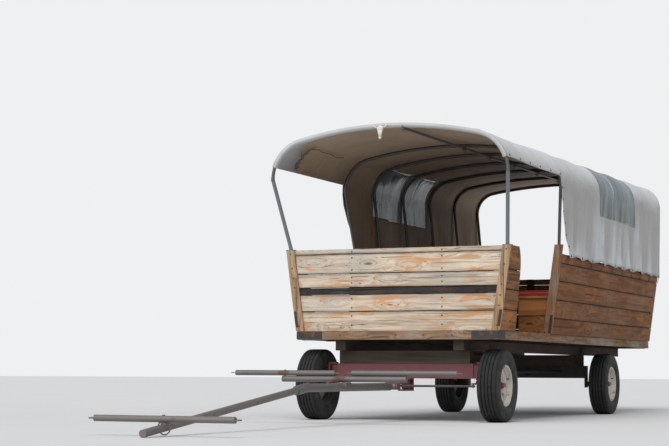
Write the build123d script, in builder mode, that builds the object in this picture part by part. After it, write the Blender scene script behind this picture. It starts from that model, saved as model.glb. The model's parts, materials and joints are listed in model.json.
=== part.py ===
"""Covered passenger wagon: plank box, bowed canvas cover and a steered four-wheel running gear.

Millimetres. +Z is up, -Y is the way the wagon travels and +X is its left side. The origin is on the ground,
under the middle of the whole length from the pole's tip to the back of the cover. The pole lies parked, with
its tip on the ground. Stations along the wagon are measured back from the front axle.
"""
import os
from math import asin, atan, cos, pi, sin, sqrt

from build123d import *

os.makedirs("parts", exist_ok=True)

# Wheels
TYRE_R = 360.0
TYRE_HALF_W = 113.5
TREAD_HALF_W = 88.0
BEAD_R = 190.0
RIM_HALF_W = 90.0
SPOKES = 8
HUB_R = 38.0
HUB_FLANGE_R = 70.0
HUB_INNER = 62.0
HUB_CAP_R = 27.0
SPINDLE_R = 17.5
RUNNING = 0.05

# Running gear
TRACK = 1940.0
WHEELBASE = 4030.0
BEAM_BOTTOM = 426.0
BEAM_TOP = 576.0
BEAM_D = 100.0
BEAM_HALF_L = 735.0
KINGPIN_X = 780.0
KINGPIN_R = 15.0
BOSS_R = 34.0
EAR_T = 24.0
GAP = 6.0
STEER_ARM = 180.0
ARM_T = 16.0
TIE_R = 11.0
TIE_EYE_R = 20.0
TIE_PIN_R = 8.0
CENTRE_PIN_R = 20.0
CENTRE_BOSS_R = 45.0
REACH_W = 80.0
REACH_Z = 500.0
BOLSTER_HALF_L = 704.0
BOLSTER_D = 120.0
BOLSTER_TOP = 704.0
STAKE_H = 84.0

# Drawbar, evener, singletrees and neck yoke
HINGE_AHEAD = 420.0
HINGE_Z = 345.0
HINGE_PIN_R = 12.5
HINGE_EYE_R = 30.0
HINGE_HALF_W = 60.0
TONGUE_R = 38.0
TONGUE_L = 1980.0
POLE_R = 30.15
POLE_L = 2853.0
COLLAR_R = 42.0
COLLAR_L = 200.0
EVENER_AHEAD = 1570.0
EVENER_R = 28.0
EVENER_ARM = 600.0
SADDLE_T = 8.0
PIN_R = 12.5
TREE_R = 25.0
TREE_HALF_L = 515.0
TREE_PIN_R = 10.0
EYE_T = 8.0
EYE_HOLE_R = 9.0
EYE_OUT = 30.0
EYE_R = 21.0
YOKE_R = 25.0
YOKE_HALF_L = 600.0
YOKE_BACK = 320.0
YOKE_RING_R = 52.0
YOKE_RING_WIRE = 5.0
TURN_GAP = 2.0

# Box
BOX_FRONT = -290.0
BOX_REAR = 5820.0
SILL_BOTTOM = 811.0
FLOOR = 900.0
HALF_FLOOR_OUT = 1093.0
SILL_HALF_W = 1080.0
FLARE = 0.1414
BOARD_T = 38.0
THIN_T = 25.0
BOARD_GAP = 4.0
STUD_W = 89.0
STRINGER_IN = 580.0
STRINGER_OUT = 690.0
STRINGER_FRONT = -200.0
STRINGER_TOP = 806.0
DECK_T = 38.0
DECK_BOARDS = 11
JOISTS = 11
JOIST_W = 60.0
SIDE_TOPS = (1065.0, 1261.0, 1460.0, 1650.0, 1750.0)
FRONT_TOPS = (1093.0, 1263.0, 1336.0, 1478.0, 1675.0)
RETURN_TOPS = (1099.0, 1297.0, 1491.0, 1727.0)
RAIL_TOP = 1727.0
STRIP_ROW = 2
DOOR_FRONT = 200.0
DOOR_REAR = 1420.0
RETURN_MID = (110.0, 1491.0)
RETURN_TOP_BACK = -20.0
STAKE_TOP = 1850.0
FRONT_STUDS = 485.0
SIDE_STUDS = (1720.0, 3535.0, 5350.0)

# Seats
SEAT_IN = 700.0
SEAT_TOP = 1310.0
PANEL_T = 20.0
PANEL_SPLIT = 1090.0
CUSHION_T = 60.0
DRIVER_HALF_W = 750.0
DRIVER_FRONT = 420.0
DRIVER_REAR = 820.0
DRIVER_TOP = 1480.0

# Cover: half width, crown height, crown radius and corner radius at its two ends
COVER_FRONT = -545.0
COVER_REAR = 5850.0
FRONT_SECTION = (1277.0, 2956.0, 4130.0, 420.0)
REAR_SECTION = (1250.0, 3000.0, 6000.0, 300.0)
CANVAS_T = 4.0
SEAM = 0.3
CURTAIN_HEM = (1222.0, 1720.0)
AWNING_EDGE = 2565.0
CURTAIN_TOP_FRONT = 1349.0
CURTAIN_HEM_FRONT = 1685.0
WINDOW_BOTTOM = 2270.0
WINDOW_IN = 1060.0
WINDOW_LEFT = (2850.0, 4500.0)
WINDOW_RIGHT = (2100.0, 3840.0)
VINYL_T = 2.0

# Bows
BOW_R = 17.0
BOW_CLEAR = 3.0
BOW_STATIONS = (1300.0, 2150.0, 3050.0, 3950.0, 4850.0, 5750.0)
BOW_FOOT = 1500.0
CROWN_START = 0.0003
SEAT_CLEAR = 0.3
FRONT_ARCH = -520.0
POST_R = 19.0
POST_FOOT = (1165.0, -262.0, 1735.0)
POST_PLATE = (90.0, 60.0, 8.0)
RIDGE_X = 170.0
RIDGE_R = 13.0

# Places that follow from the sizes above
POLE_DROP = asin(HINGE_Z / sqrt(POLE_L**2 + POLE_R**2)) - atan(POLE_R / POLE_L)
TIP_AHEAD = HINGE_AHEAD + TONGUE_L + POLE_L * cos(POLE_DROP) + POLE_R * sin(POLE_DROP)
AXLE_Y = (TIP_AHEAD - COVER_REAR) / 2
FLARE_ANGLE = atan(FLARE)
LEVEL_T = BOARD_T / cos(FLARE_ANGLE)
MID_X = TRACK / 2


def station(back):
    """Y of a place that is so far behind the front axle."""
    return AXLE_Y + back


def wall_x(height):
    """Outer face of the flared side wall at a height."""
    return HALF_FLOOR_OUT + (height - FLOOR) * FLARE


def lerp(low, high, share):
    """Value between two others."""
    return low + (high - low) * share


def slab(x_range, y_range, z_range):
    """Rectangular piece between stated corners; y is measured back from the front axle."""
    wide = x_range[1] - x_range[0]
    deep = y_range[1] - y_range[0]
    centre = ((x_range[0] + x_range[1]) / 2, station((y_range[0] + y_range[1]) / 2))
    with BuildPart() as piece:
        with BuildSketch(Plane.XY.offset(z_range[0])):
            with Locations(centre):
                Rectangle(wide, deep)
        extrude(amount=z_range[1] - z_range[0])
    return piece.part


def rod(start, end, radius):
    """Round bar or pipe between two points."""
    run = Vector(end) - Vector(start)
    with BuildPart() as piece:
        with BuildSketch(Plane(origin=start, z_dir=run)):
            Circle(radius)
        extrude(amount=run.length)
    return piece.part


def upright(x, back, z_range, radius):
    """Upright round pin or boss."""
    return rod((x, station(back), z_range[0]), (x, station(back), z_range[1]), radius)


def save(builder, name):
    """Label a finished piece and write its STEP file."""
    builder.part.label = name
    export_step(builder.part, f"parts/{name}.step")


# Ladder under the floor: two timber stringers that rest on the bolsters, and the joists across them
with BuildPart() as stringers:
    for side in (-1, 1):
        edges = sorted((side * STRINGER_IN, side * STRINGER_OUT))
        add(slab(edges, (STRINGER_FRONT, BOX_REAR - BOARD_T), (BOLSTER_TOP, STRINGER_TOP)))
save(stringers, "stringers")

DECK_BOTTOM = FLOOR - DECK_T
DECK_HALF_W = SILL_HALF_W - BOARD_T
DECK_FRONT = BOX_FRONT + BOARD_T
DECK_REAR = BOX_REAR - BOARD_T
joist_pitch = (DECK_REAR - DECK_FRONT - JOIST_W) / (JOISTS - 1)
with BuildPart() as joists:
    with BuildSketch(Plane.XY.offset(STRINGER_TOP)):
        with Locations([(0, station(DECK_FRONT + JOIST_W / 2 + n * joist_pitch)) for n in range(JOISTS)]):
            Rectangle(2 * DECK_HALF_W, JOIST_W)
    extrude(amount=DECK_BOTTOM - STRINGER_TOP)
save(joists, "joists")

deck_pitch = 2 * DECK_HALF_W / DECK_BOARDS
with BuildPart() as deck:
    with BuildSketch(Plane.XY.offset(DECK_BOTTOM)):
        with Locations((0, station((DECK_FRONT + DECK_REAR) / 2))):
            with GridLocations(deck_pitch, 1, DECK_BOARDS, 1):
                Rectangle(deck_pitch - BOARD_GAP, DECK_REAR - DECK_FRONT)
    extrude(amount=DECK_T)
save(deck, "deck")

with BuildPart() as sill_boards:
    for front in (BOX_FRONT, DECK_REAR):
        add(slab((-SILL_HALF_W, SILL_HALF_W), (front, front + BOARD_T), (SILL_BOTTOM, FLOOR)))
    for side in (-1, 1):
        edges = sorted((side * DECK_HALF_W, side * SILL_HALF_W))
        add(slab(edges, (DECK_FRONT + SEAM, DECK_REAR - SEAM), (SILL_BOTTOM, FLOOR)))
save(sill_boards, "sill_boards")

# Walls: each plank is a solid of its own, in the plane of its flared or upright wall
side_plane = Plane(
    origin=(HALF_FLOOR_OUT, AXLE_Y, FLOOR), x_dir=(0, 1, 0), z_dir=(cos(FLARE_ANGLE), 0, -sin(FLARE_ANGLE))
)


def slope(height):
    """Distance up the flared wall from the floor to a height."""
    return (height - FLOOR) / cos(FLARE_ANGLE)


def board_rows(tops):
    """Low and high edge of each board, with a gap under every board but the lowest."""
    lows = (FLOOR,) + tuple(top + BOARD_GAP for top in tops[:-1])
    return list(zip(lows, tops))


def side_boards(tops, front, rear):
    """Boards of the left wall between two stations."""
    with BuildPart() as piece:
        with BuildSketch(side_plane):
            for low, high in board_rows(tops):
                with Locations(((front + rear) / 2, (slope(low) + slope(high)) / 2)):
                    Rectangle(rear - front, slope(high) - slope(low))
        extrude(amount=-BOARD_T)
    return piece.part


WALL_FRONT = BOX_FRONT + THIN_T
WALL_INSIDE = WALL_FRONT + BOARD_T
STAKE_BACK = DOOR_REAR + BOARD_T
left_wall = side_boards(SIDE_TOPS, STAKE_BACK + SEAM, BOX_REAR)
for name, wall in (("side_wall_left", left_wall), ("side_wall_right", mirror(left_wall, about=Plane.YZ))):
    with BuildPart() as side_wall:
        add(wall)
    save(side_wall, name)

# Short panel ahead of each doorway, with its back edge raked and rounded at the top
with BuildPart() as left_return:
    with BuildSketch(side_plane):
        for low, high in board_rows(RETURN_TOPS):
            with Locations(((WALL_FRONT + DOOR_FRONT) / 2, (slope(low) + slope(high)) / 2)):
                Rectangle(DOOR_FRONT - WALL_FRONT, slope(high) - slope(low))
        with BuildLine():
            foot = (DOOR_FRONT, 0)
            knee = (RETURN_MID[0], slope(RETURN_MID[1]))
            rake = Line(foot, knee)
            top = TangentArc(knee, (RETURN_TOP_BACK, slope(RAIL_TOP)), tangent=rake % 1)
            Polyline(top @ 1, (WALL_FRONT, slope(RAIL_TOP)), (WALL_FRONT, 0), foot)
        make_face(mode=Mode.INTERSECT)
    extrude(amount=-BOARD_T)
    split(bisect_by=Plane.XY.offset(RAIL_TOP), keep=Keep.BOTTOM)
right_return = mirror(left_return.part, about=Plane.YZ)
for name, wall in (("front_return_left", left_return.part), ("front_return_right", right_return)):
    with BuildPart() as front_return:
        add(wall)
    save(front_return, name)


def end_plane(face):
    """Upright plane across the wagon that looks forward, at a station."""
    return Plane(origin=(0, station(face), 0), x_dir=(1, 0, 0), z_dir=(0, -1, 0))


def end_boards(rows, face, thickness, inset):
    """Boards across the wagon whose ends follow the flared sides, so far inside their outer faces."""
    with BuildPart() as piece:
        with BuildSketch(end_plane(face)):
            for low, high in rows:
                with BuildLine():
                    Polyline(
                        (inset - wall_x(low), low),
                        (wall_x(low) - inset, low),
                        (wall_x(high) - inset, high),
                        (inset - wall_x(high), high),
                        close=True,
                    )
                make_face()
        extrude(amount=-thickness)
    return piece.part


front_rows = board_rows(FRONT_TOPS)
with BuildPart() as front_wall:
    add(end_boards(front_rows[:STRIP_ROW] + front_rows[STRIP_ROW + 1 :], WALL_FRONT, BOARD_T, LEVEL_T + SEAM))
save(front_wall, "front_wall")

STRIP_BACK = 12.0
with BuildPart() as front_strip:
    add(end_boards([front_rows[STRIP_ROW]], WALL_FRONT + STRIP_BACK, BOARD_T - STRIP_BACK, LEVEL_T + SEAM))
save(front_strip, "front_strip")

with BuildPart() as front_rail:
    add(end_boards([(FRONT_TOPS[-1] + SEAM, RAIL_TOP)], WALL_FRONT, BOARD_T, LEVEL_T + SEAM))
save(front_rail, "front_rail")

with BuildPart() as rear_wall:
    rear_rows = board_rows(SIDE_TOPS[:-1] + (RAIL_TOP,))
    add(end_boards(rear_rows, DECK_REAR, BOARD_T, LEVEL_T + SEAM))
save(rear_wall, "rear_wall")


def leaning_board(face, thickness, width, bottom, top):
    """Upright board that leans out with the left wall and shows its width to the front."""
    with BuildPart() as piece:
        with BuildSketch(end_plane(face)):
            with BuildLine():
                Polyline(
                    (wall_x(bottom) - width, bottom),
                    (wall_x(bottom), bottom),
                    (wall_x(top), top),
                    (wall_x(top) - width, top),
                    close=True,
                )
            make_face()
        extrude(amount=-thickness)
    return piece.part


left_corner = leaning_board(BOX_FRONT, THIN_T - SEAM, STUD_W, FLOOR, RAIL_TOP)
with BuildPart() as corner_boards:
    add(left_corner)
    add(mirror(left_corner, about=Plane.YZ))
save(corner_boards, "corner_boards")

left_stake = leaning_board(DOOR_REAR, BOARD_T, STUD_W, FLOOR, STAKE_TOP)
with BuildPart() as door_stakes:
    add(left_stake)
    add(mirror(left_stake, about=Plane.YZ))
save(door_stakes, "door_stakes")

with BuildPart() as wall_studs:
    for x in (-FRONT_STUDS, FRONT_STUDS):
        edges = (x - STUD_W / 2, x + STUD_W / 2)
        add(slab(edges, (WALL_INSIDE, WALL_INSIDE + BOARD_T), (FLOOR, RAIL_TOP)))
        add(slab(edges, (DECK_REAR - BOARD_T, DECK_REAR), (FLOOR, RAIL_TOP)))
    with BuildPart(mode=Mode.PRIVATE) as left_studs:
        with BuildSketch(side_plane.offset(-BOARD_T)):
            low, high = slope(FLOOR + BOARD_T), slope(SIDE_TOPS[-1])
            with Locations([(back, (low + high) / 2) for back in SIDE_STUDS]):
                Rectangle(STUD_W, high - low)
        extrude(amount=-BOARD_T)
    add(left_studs.part)
    add(mirror(left_studs.part, about=Plane.YZ))
save(wall_studs, "wall_studs")

# Seats: a boxed bench along each side and a raised driver's bench behind the front wall
BENCH_FRONT = STAKE_BACK + BOARD_GAP
BENCH_REAR = DECK_REAR - BOARD_T - BOARD_GAP
SEAT_BOTTOM = SEAT_TOP - BOARD_T
SEAT_OUT = wall_x(SEAT_BOTTOM) - 2 * LEVEL_T - SEAM
PANEL_IN = SEAT_IN + PANEL_T
with BuildPart() as side_benches:
    for side in (-1, 1):
        seat = sorted((side * SEAT_IN, side * SEAT_OUT))
        add(slab(seat, (BENCH_FRONT, BENCH_REAR), (SEAT_BOTTOM, SEAT_TOP)))
        for low, high in ((FLOOR, PANEL_SPLIT - SEAM), (PANEL_SPLIT, SEAT_BOTTOM)):
            panel = sorted((side * PANEL_IN, side * (PANEL_IN + PANEL_T)))
            end = sorted((side * PANEL_IN, side * (wall_x(low) - LEVEL_T - BOARD_GAP)))
            add(slab(panel, (BENCH_FRONT + PANEL_T, BENCH_REAR), (low, high)))
            add(slab(end, (BENCH_FRONT, BENCH_FRONT + PANEL_T), (low, high)))
save(side_benches, "side_benches")

with BuildPart() as side_cushions:
    for side in (-1, 1):
        edges = sorted((side * (SEAT_IN + BOARD_GAP), side * (SEAT_OUT - BOARD_GAP)))
        spans = (BENCH_FRONT + BOARD_GAP, BENCH_REAR - BOARD_GAP)
        add(slab(edges, spans, (SEAT_TOP + SEAM, SEAT_TOP + CUSHION_T)))
save(side_cushions, "side_cushions")

with BuildPart() as driver_bench:
    driver_half = DRIVER_HALF_W
    add(slab((-driver_half, driver_half), (DRIVER_FRONT, DRIVER_REAR), (DRIVER_TOP - BOARD_T, DRIVER_TOP)))
    for side in (-1, 1):
        edges = sorted((side * (driver_half - BOARD_T), side * driver_half))
        spans = (DRIVER_FRONT + PANEL_T, DRIVER_REAR - PANEL_T)
        add(slab(edges, spans, (FLOOR, DRIVER_TOP - BOARD_T)))
    rail = (DRIVER_REAR - 2 * PANEL_T, DRIVER_REAR - PANEL_T)
    add(slab((-driver_half, driver_half), rail, (DRIVER_TOP - STUD_W - BOARD_T, DRIVER_TOP - BOARD_T)))
save(driver_bench, "driver_bench")

with BuildPart() as driver_cushion:
    half = DRIVER_HALF_W - BOARD_GAP
    spans = (DRIVER_FRONT + BOARD_GAP, DRIVER_REAR - BOARD_GAP)
    add(slab((-half, half), spans, (DRIVER_TOP + SEAM, DRIVER_TOP + CUSHION_T)))
save(driver_cushion, "driver_cushion")


# Cover: its cross-section is a leg, a corner arc and a wide crown arc on each side
def section_point(section, span, share, inset):
    """Point of one end's section on its corner arc, from the leg up, or on its crown arc, from the corner in."""
    half, crown, crown_r, corner_r = section
    corner_x = half - corner_r
    reach = crown_r - corner_r
    corner_z = crown - crown_r + sqrt(reach**2 - corner_x**2)
    meet = asin(corner_x / reach)
    if span == "corner":
        angle = lerp(pi / 2, meet, share)
        return (corner_x + (corner_r - inset) * sin(angle), corner_z + (corner_r - inset) * cos(angle))
    angle = meet * (1 - share)
    return ((crown_r - inset) * sin(angle), crown - crown_r + (crown_r - inset) * cos(angle))


def cover_point(back, span, share, inset):
    """The same point at any station, straight between the two ends of the cover."""
    part_way = (back - COVER_FRONT) / (COVER_REAR - COVER_FRONT)
    front_x, front_z = section_point(FRONT_SECTION, span, share, inset)
    rear_x, rear_z = section_point(REAR_SECTION, span, share, inset)
    return (lerp(front_x, rear_x, part_way), station(back), lerp(front_z, rear_z, part_way))


def strip_outline(back, span, low, high, outer, inner):
    """Two arcs and two ends of one width of the cover, as (x, z) points at a station."""
    shares = (low, (low + high) / 2, high)
    outside = [cover_point(back, span, share, outer)[::2] for share in shares]
    inside = [cover_point(back, span, share, inner)[::2] for share in reversed(shares)]
    return outside, inside


def cover_width(span, low, high, outer, inner):
    """One width of the cover's left half, between two shares of an arc, from its front to its rear."""
    with BuildPart() as piece:
        for back in (COVER_FRONT, COVER_REAR):
            outside, inside = strip_outline(back, span, low, high, outer, inner)
            with BuildSketch(end_plane(back)):
                with BuildLine():
                    ThreePointArc(*outside)
                    Line(outside[2], inside[0])
                    ThreePointArc(*inside)
                    Line(inside[2], outside[0])
                make_face()
        loft(ruled=True)
    return piece.part


def side_curtain(outer, inner):
    """Left side of the cover, from the corner down to its hem."""
    hem_x, hem_z = CURTAIN_HEM
    with BuildPart() as piece:
        for back in (COVER_FRONT, COVER_REAR):
            top_x, _, top_z = cover_point(back, "corner", 0, 0)
            with BuildSketch(end_plane(back)):
                with BuildLine():
                    Polyline(
                        (top_x - outer, top_z - SEAM),
                        (hem_x - outer, hem_z),
                        (hem_x - inner, hem_z),
                        (top_x - inner, top_z - SEAM),
                        close=True,
                    )
                make_face()
        loft(ruled=True)
    return piece.part


# Span and the shares of it that each width covers
COVER_WIDTHS = (("corner", 0.0, 0.4995), ("corner", 0.5, 0.9995), ("crown", 0.0, 0.4995), ("crown", 0.5, 0.9998))


def left_cover(outer, inner):
    """All widths of the left half between two depths from its outer face."""
    return [side_curtain(outer, inner)] + [cover_width(*width, outer, inner) for width in COVER_WIDTHS]


BEYOND = 500.0
door_gap = slab((SEAT_IN, SEAT_IN + 2 * BEYOND), (COVER_FRONT - BEYOND, CURTAIN_TOP_FRONT), (0, AWNING_EDGE))
with BuildPart() as slanted_gap:
    with BuildSketch(Plane(origin=(SEAT_IN, AXLE_Y, 0), x_dir=(0, 1, 0), z_dir=(1, 0, 0))):
        with BuildLine():
            lean = (CURTAIN_HEM_FRONT - CURTAIN_TOP_FRONT) / (AWNING_EDGE - CURTAIN_HEM[1])
            low_end = CURTAIN_HEM[1] - BEYOND
            Polyline(
                (CURTAIN_TOP_FRONT - BEYOND, low_end),
                (CURTAIN_HEM_FRONT + lean * BEYOND, low_end),
                (CURTAIN_TOP_FRONT, AWNING_EDGE),
                (CURTAIN_TOP_FRONT - BEYOND, AWNING_EDGE),
                close=True,
            )
        make_face()
    extrude(amount=2 * BEYOND)


def window_box(span, clearance):
    """Region of a clear window in the left half of the cover."""
    return slab(
        (WINDOW_IN + clearance, WINDOW_IN + BEYOND),
        (span[0] + clearance, span[1] - clearance),
        (WINDOW_BOTTOM + clearance, WINDOW_BOTTOM + 2 * BEYOND),
    )


def cut_cover(window):
    """Left half of the cover with its doorway and one window cut out."""
    with BuildPart() as piece:
        for strip in left_cover(0, CANVAS_T):
            add(strip)
        add(door_gap, mode=Mode.SUBTRACT)
        add(slanted_gap.part, mode=Mode.SUBTRACT)
        add(window_box(window, 0), mode=Mode.SUBTRACT)
    return piece.part


def clear_window(window):
    """Vinyl of one window, as the cover's own widths inside its region."""
    with BuildPart() as piece:
        for strip in left_cover(1, 1 + VINYL_T):
            add(strip)
        add(window_box(window, SEAM), mode=Mode.INTERSECT)
    return piece.part


with BuildPart() as canvas_cover:
    add(cut_cover(WINDOW_LEFT))
    add(mirror(cut_cover(WINDOW_RIGHT), about=Plane.YZ))
save(canvas_cover, "canvas_cover")

with BuildPart() as cover_windows:
    add(clear_window(WINDOW_LEFT))
    add(mirror(clear_window(WINDOW_RIGHT), about=Plane.YZ))
save(cover_windows, "cover_windows")


# Bows: slip-jointed pipe, with a leg, a bent corner and a crown pipe in each
def arc_pipe(back, span, low, high, inset, radius):
    """Pipe bent along one arc of the cover, so far inside the canvas."""
    with BuildPart() as piece:
        with BuildLine() as path:
            ThreePointArc(*[cover_point(back, span, share, inset) for share in (low, (low + high) / 2, high)])
        with BuildSketch(Plane(origin=path.line @ 0, z_dir=path.line % 0)):
            Circle(radius)
        sweep()
    return piece.part


def crown_pipe(back, inset, radius):
    """Pipe across the roof between the two bent corners."""
    left = cover_point(back, "crown", CROWN_START, inset)
    middle = cover_point(back, "crown", 1, inset)
    with BuildPart() as piece:
        with BuildLine() as path:
            ThreePointArc(left, middle, (-left[0], left[1], left[2]))
        with BuildSketch(Plane(origin=path.line @ 0, z_dir=path.line % 0)):
            Circle(radius)
        sweep()
    return piece.part


def level_rod(foot, top, radius):
    """Leaning pipe between two points, with both ends cut level."""
    overrun = (Vector(top) - Vector(foot)).normalized() * 2 * radius
    with BuildPart() as piece:
        add(rod(Vector(foot) - overrun, Vector(top) + overrun, radius))
        split(bisect_by=Plane.XY.offset(foot[2]), keep=Keep.TOP)
        split(bisect_by=Plane.XY.offset(top[2]), keep=Keep.BOTTOM)
    return piece.part


BOW_INSET = CANVAS_T + BOW_CLEAR + BOW_R
ARCH_INSET = CANVAS_T + SEAT_CLEAR + BOW_R
wall_foot = (wall_x(BOW_FOOT) - LEVEL_T - BOW_R / cos(FLARE_ANGLE) - SEAT_CLEAR, BOW_FOOT)
stake_foot = (wall_x(STAKE_TOP) - STUD_W / 2, STAKE_TOP + SEAT_CLEAR)

# The first bow stands on the door stakes and leans forward; the others run down inside the walls
with BuildPart() as bow_legs:
    for back in BOW_STATIONS:
        top = cover_point(back, "corner", 0, BOW_INSET)
        on_stake = back == BOW_STATIONS[0]
        foot_x, foot_z = stake_foot if on_stake else wall_foot
        foot_back = DOOR_REAR + BOARD_T / 2 if on_stake else back
        leg = level_rod((foot_x, station(foot_back), foot_z), (top[0], top[1], top[2] - SEAM), BOW_R)
        add(leg)
        add(mirror(leg, about=Plane.YZ))
save(bow_legs, "bow_legs")

with BuildPart() as bow_corners:
    for back in BOW_STATIONS:
        corner = arc_pipe(back, "corner", 0, 1, BOW_INSET, BOW_R)
        add(corner)
        add(mirror(corner, about=Plane.YZ))
save(bow_corners, "bow_corners")

with BuildPart() as bow_crowns:
    for back in BOW_STATIONS:
        add(crown_pipe(back, BOW_INSET, BOW_R))
save(bow_crowns, "bow_crowns")

with BuildPart() as front_arch:
    corner = arc_pipe(FRONT_ARCH, "corner", 0, 1, ARCH_INSET, BOW_R)
    add(corner)
    add(mirror(corner, about=Plane.YZ))
    add(crown_pipe(FRONT_ARCH, ARCH_INSET, BOW_R))
save(front_arch, "front_arch")

# Front posts lean forward from the box's corners to the front arch
arch_end = cover_point(FRONT_ARCH, "corner", 0, ARCH_INSET)
post_x, post_back, post_z = POST_FOOT
post = level_rod((post_x, station(post_back), post_z), (arch_end[0], arch_end[1], arch_end[2] - SEAM), POST_R)
plate_w, plate_d, plate_t = POST_PLATE
plate_spans = (post_back - plate_d / 2, post_back + plate_d / 2)
with BuildPart() as front_posts:
    foot_plate = slab((post_x - plate_w / 2, post_x + plate_w / 2), plate_spans, (RAIL_TOP, RAIL_TOP + plate_t))
    add(post)
    add(foot_plate)
    add(mirror(post, about=Plane.YZ))
    add(mirror(foot_plate, about=Plane.YZ))
save(front_posts, "front_posts")


def crown_height(back, x, inset):
    """Height of the crown at a small distance from its middle."""
    left = cover_point(back, "crown", 0, inset)
    middle = cover_point(back, "crown", 1, inset)
    return middle[2] - (middle[2] - left[2]) * (x / left[0]) ** 2


RIDGE_DROP = BOW_INSET + BOW_R + SEAT_CLEAR + RIDGE_R
ridge_ends = (FRONT_ARCH, BOW_STATIONS[-1])
with BuildPart() as ridge_pipe:
    add(rod(*[(RIDGE_X, station(back), crown_height(back, RIDGE_X, RIDGE_DROP)) for back in ridge_ends], RIDGE_R))
save(ridge_pipe, "ridge_pipe")

# Fixed running gear: two axle beams, the reach between them and the bolsters on them
PIN_EAR_TOP = BEAM_BOTTOM - ARM_T
PIN_EAR_LOW = 300.0
EAR_HALF = 60.0
WEB_FRONT = 52.0
WEB_BACK = 70.0
EAR_TOP = BEAM_TOP - 10.0
BOSS_TOP = EAR_TOP - GAP
BOSS_LOW = BEAM_BOTTOM - ARM_T
EAR_LOW = BOSS_LOW - GAP - EAR_T
with BuildPart() as front_axle:
    add(slab((-BEAM_HALF_L, BEAM_HALF_L), (-BEAM_D / 2, BEAM_D / 2), (BEAM_BOTTOM, BEAM_TOP)))
    for side in (-1, 1):
        neck = sorted((side * (BEAM_HALF_L - BEAM_D), side * KINGPIN_X))
        add(slab(neck, (-BOSS_R, BOSS_R), (BEAM_BOTTOM, BOSS_TOP)))
        add(upright(side * KINGPIN_X, 0, (BOSS_LOW, BOSS_TOP), BOSS_R))
        add(upright(side * KINGPIN_X, 0, (BOSS_LOW, BOSS_TOP), KINGPIN_R + RUNNING), mode=Mode.SUBTRACT)
    add(slab((-EAR_HALF, EAR_HALF), (-WEB_BACK, WEB_BACK), (PIN_EAR_TOP, BEAM_BOTTOM)))
    add(slab((-EAR_HALF, EAR_HALF), (-WEB_BACK, WEB_BACK), (PIN_EAR_LOW, PIN_EAR_LOW + ARM_T)))
    add(slab((-EAR_HALF, EAR_HALF), (WEB_FRONT, WEB_BACK), (PIN_EAR_LOW, BEAM_BOTTOM)))
    add(upright(0, 0, (PIN_EAR_LOW, PIN_EAR_TOP), CENTRE_PIN_R))
save(front_axle, "front_axle")

SPINDLE_END = MID_X + HUB_R - 3
SHOULDER_END = MID_X - HUB_INNER - GAP
SHOULDER_R = 28.0
PLATE_T = 24.0
DROP_HALF = 40.0
DROP_LOW = TYRE_R - 45.0


def spindle(x_start, back):
    """Left wheel spindle with its shoulder."""
    y = station(back)
    with BuildPart() as piece:
        add(rod((x_start, y, TYRE_R), (SHOULDER_END, y, TYRE_R), SHOULDER_R))
        add(rod((SHOULDER_END, y, TYRE_R), (SPINDLE_END, y, TYRE_R), SPINDLE_R))
    return piece.part


rear_spans = (WHEELBASE - BEAM_D / 2, WHEELBASE + BEAM_D / 2)
with BuildPart() as rear_axle:
    add(slab((-BEAM_HALF_L, BEAM_HALF_L), rear_spans, (BEAM_BOTTOM, BEAM_TOP)))
    plate_spans = (WHEELBASE - DROP_HALF, WHEELBASE + DROP_HALF)
    plate = slab((BEAM_HALF_L, BEAM_HALF_L + PLATE_T), plate_spans, (DROP_LOW, BEAM_TOP))
    shaft = spindle(BEAM_HALF_L + PLATE_T, WHEELBASE)
    for piece in (plate, shaft):
        add(piece)
        add(mirror(piece, about=Plane.YZ))
save(rear_axle, "rear_axle")

# Places where the slanting hound bars leave the reach and meet the axles, and half their spread there
HOUND_R = 18.0
HOUNDS = ((BEAM_D / 2 + HOUND_R, 900.0, 400.0), (WHEELBASE - BEAM_D / 2 - HOUND_R, 3100.0, 450.0))
with BuildPart() as reach:
    reach_half = REACH_W / 2
    reach_span = (BEAM_D / 2, WHEELBASE - BEAM_D / 2)
    add(slab((-reach_half, reach_half), reach_span, (REACH_Z - reach_half, REACH_Z + reach_half)))
    for at_axle, at_reach, spread in HOUNDS:
        for side in (-1, 1):
            add(rod((side * spread, station(at_axle), REACH_Z), (0, station(at_reach), REACH_Z), HOUND_R))
save(reach, "reach")

with BuildPart() as bolsters:
    for back in (0.0, WHEELBASE):
        spans = (back - BOLSTER_D / 2, back + BOLSTER_D / 2)
        add(slab((-BOLSTER_HALF_L, BOLSTER_HALF_L), spans, (BEAM_TOP, BOLSTER_TOP)))
        for side in (-1, 1):
            edges = sorted((side * (STRINGER_OUT + SEAM), side * BOLSTER_HALF_L))
            add(slab(edges, (back - DROP_HALF, back + DROP_HALF), (BOLSTER_TOP, BOLSTER_TOP + STAKE_H)))
save(bolsters, "bolsters")

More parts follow.
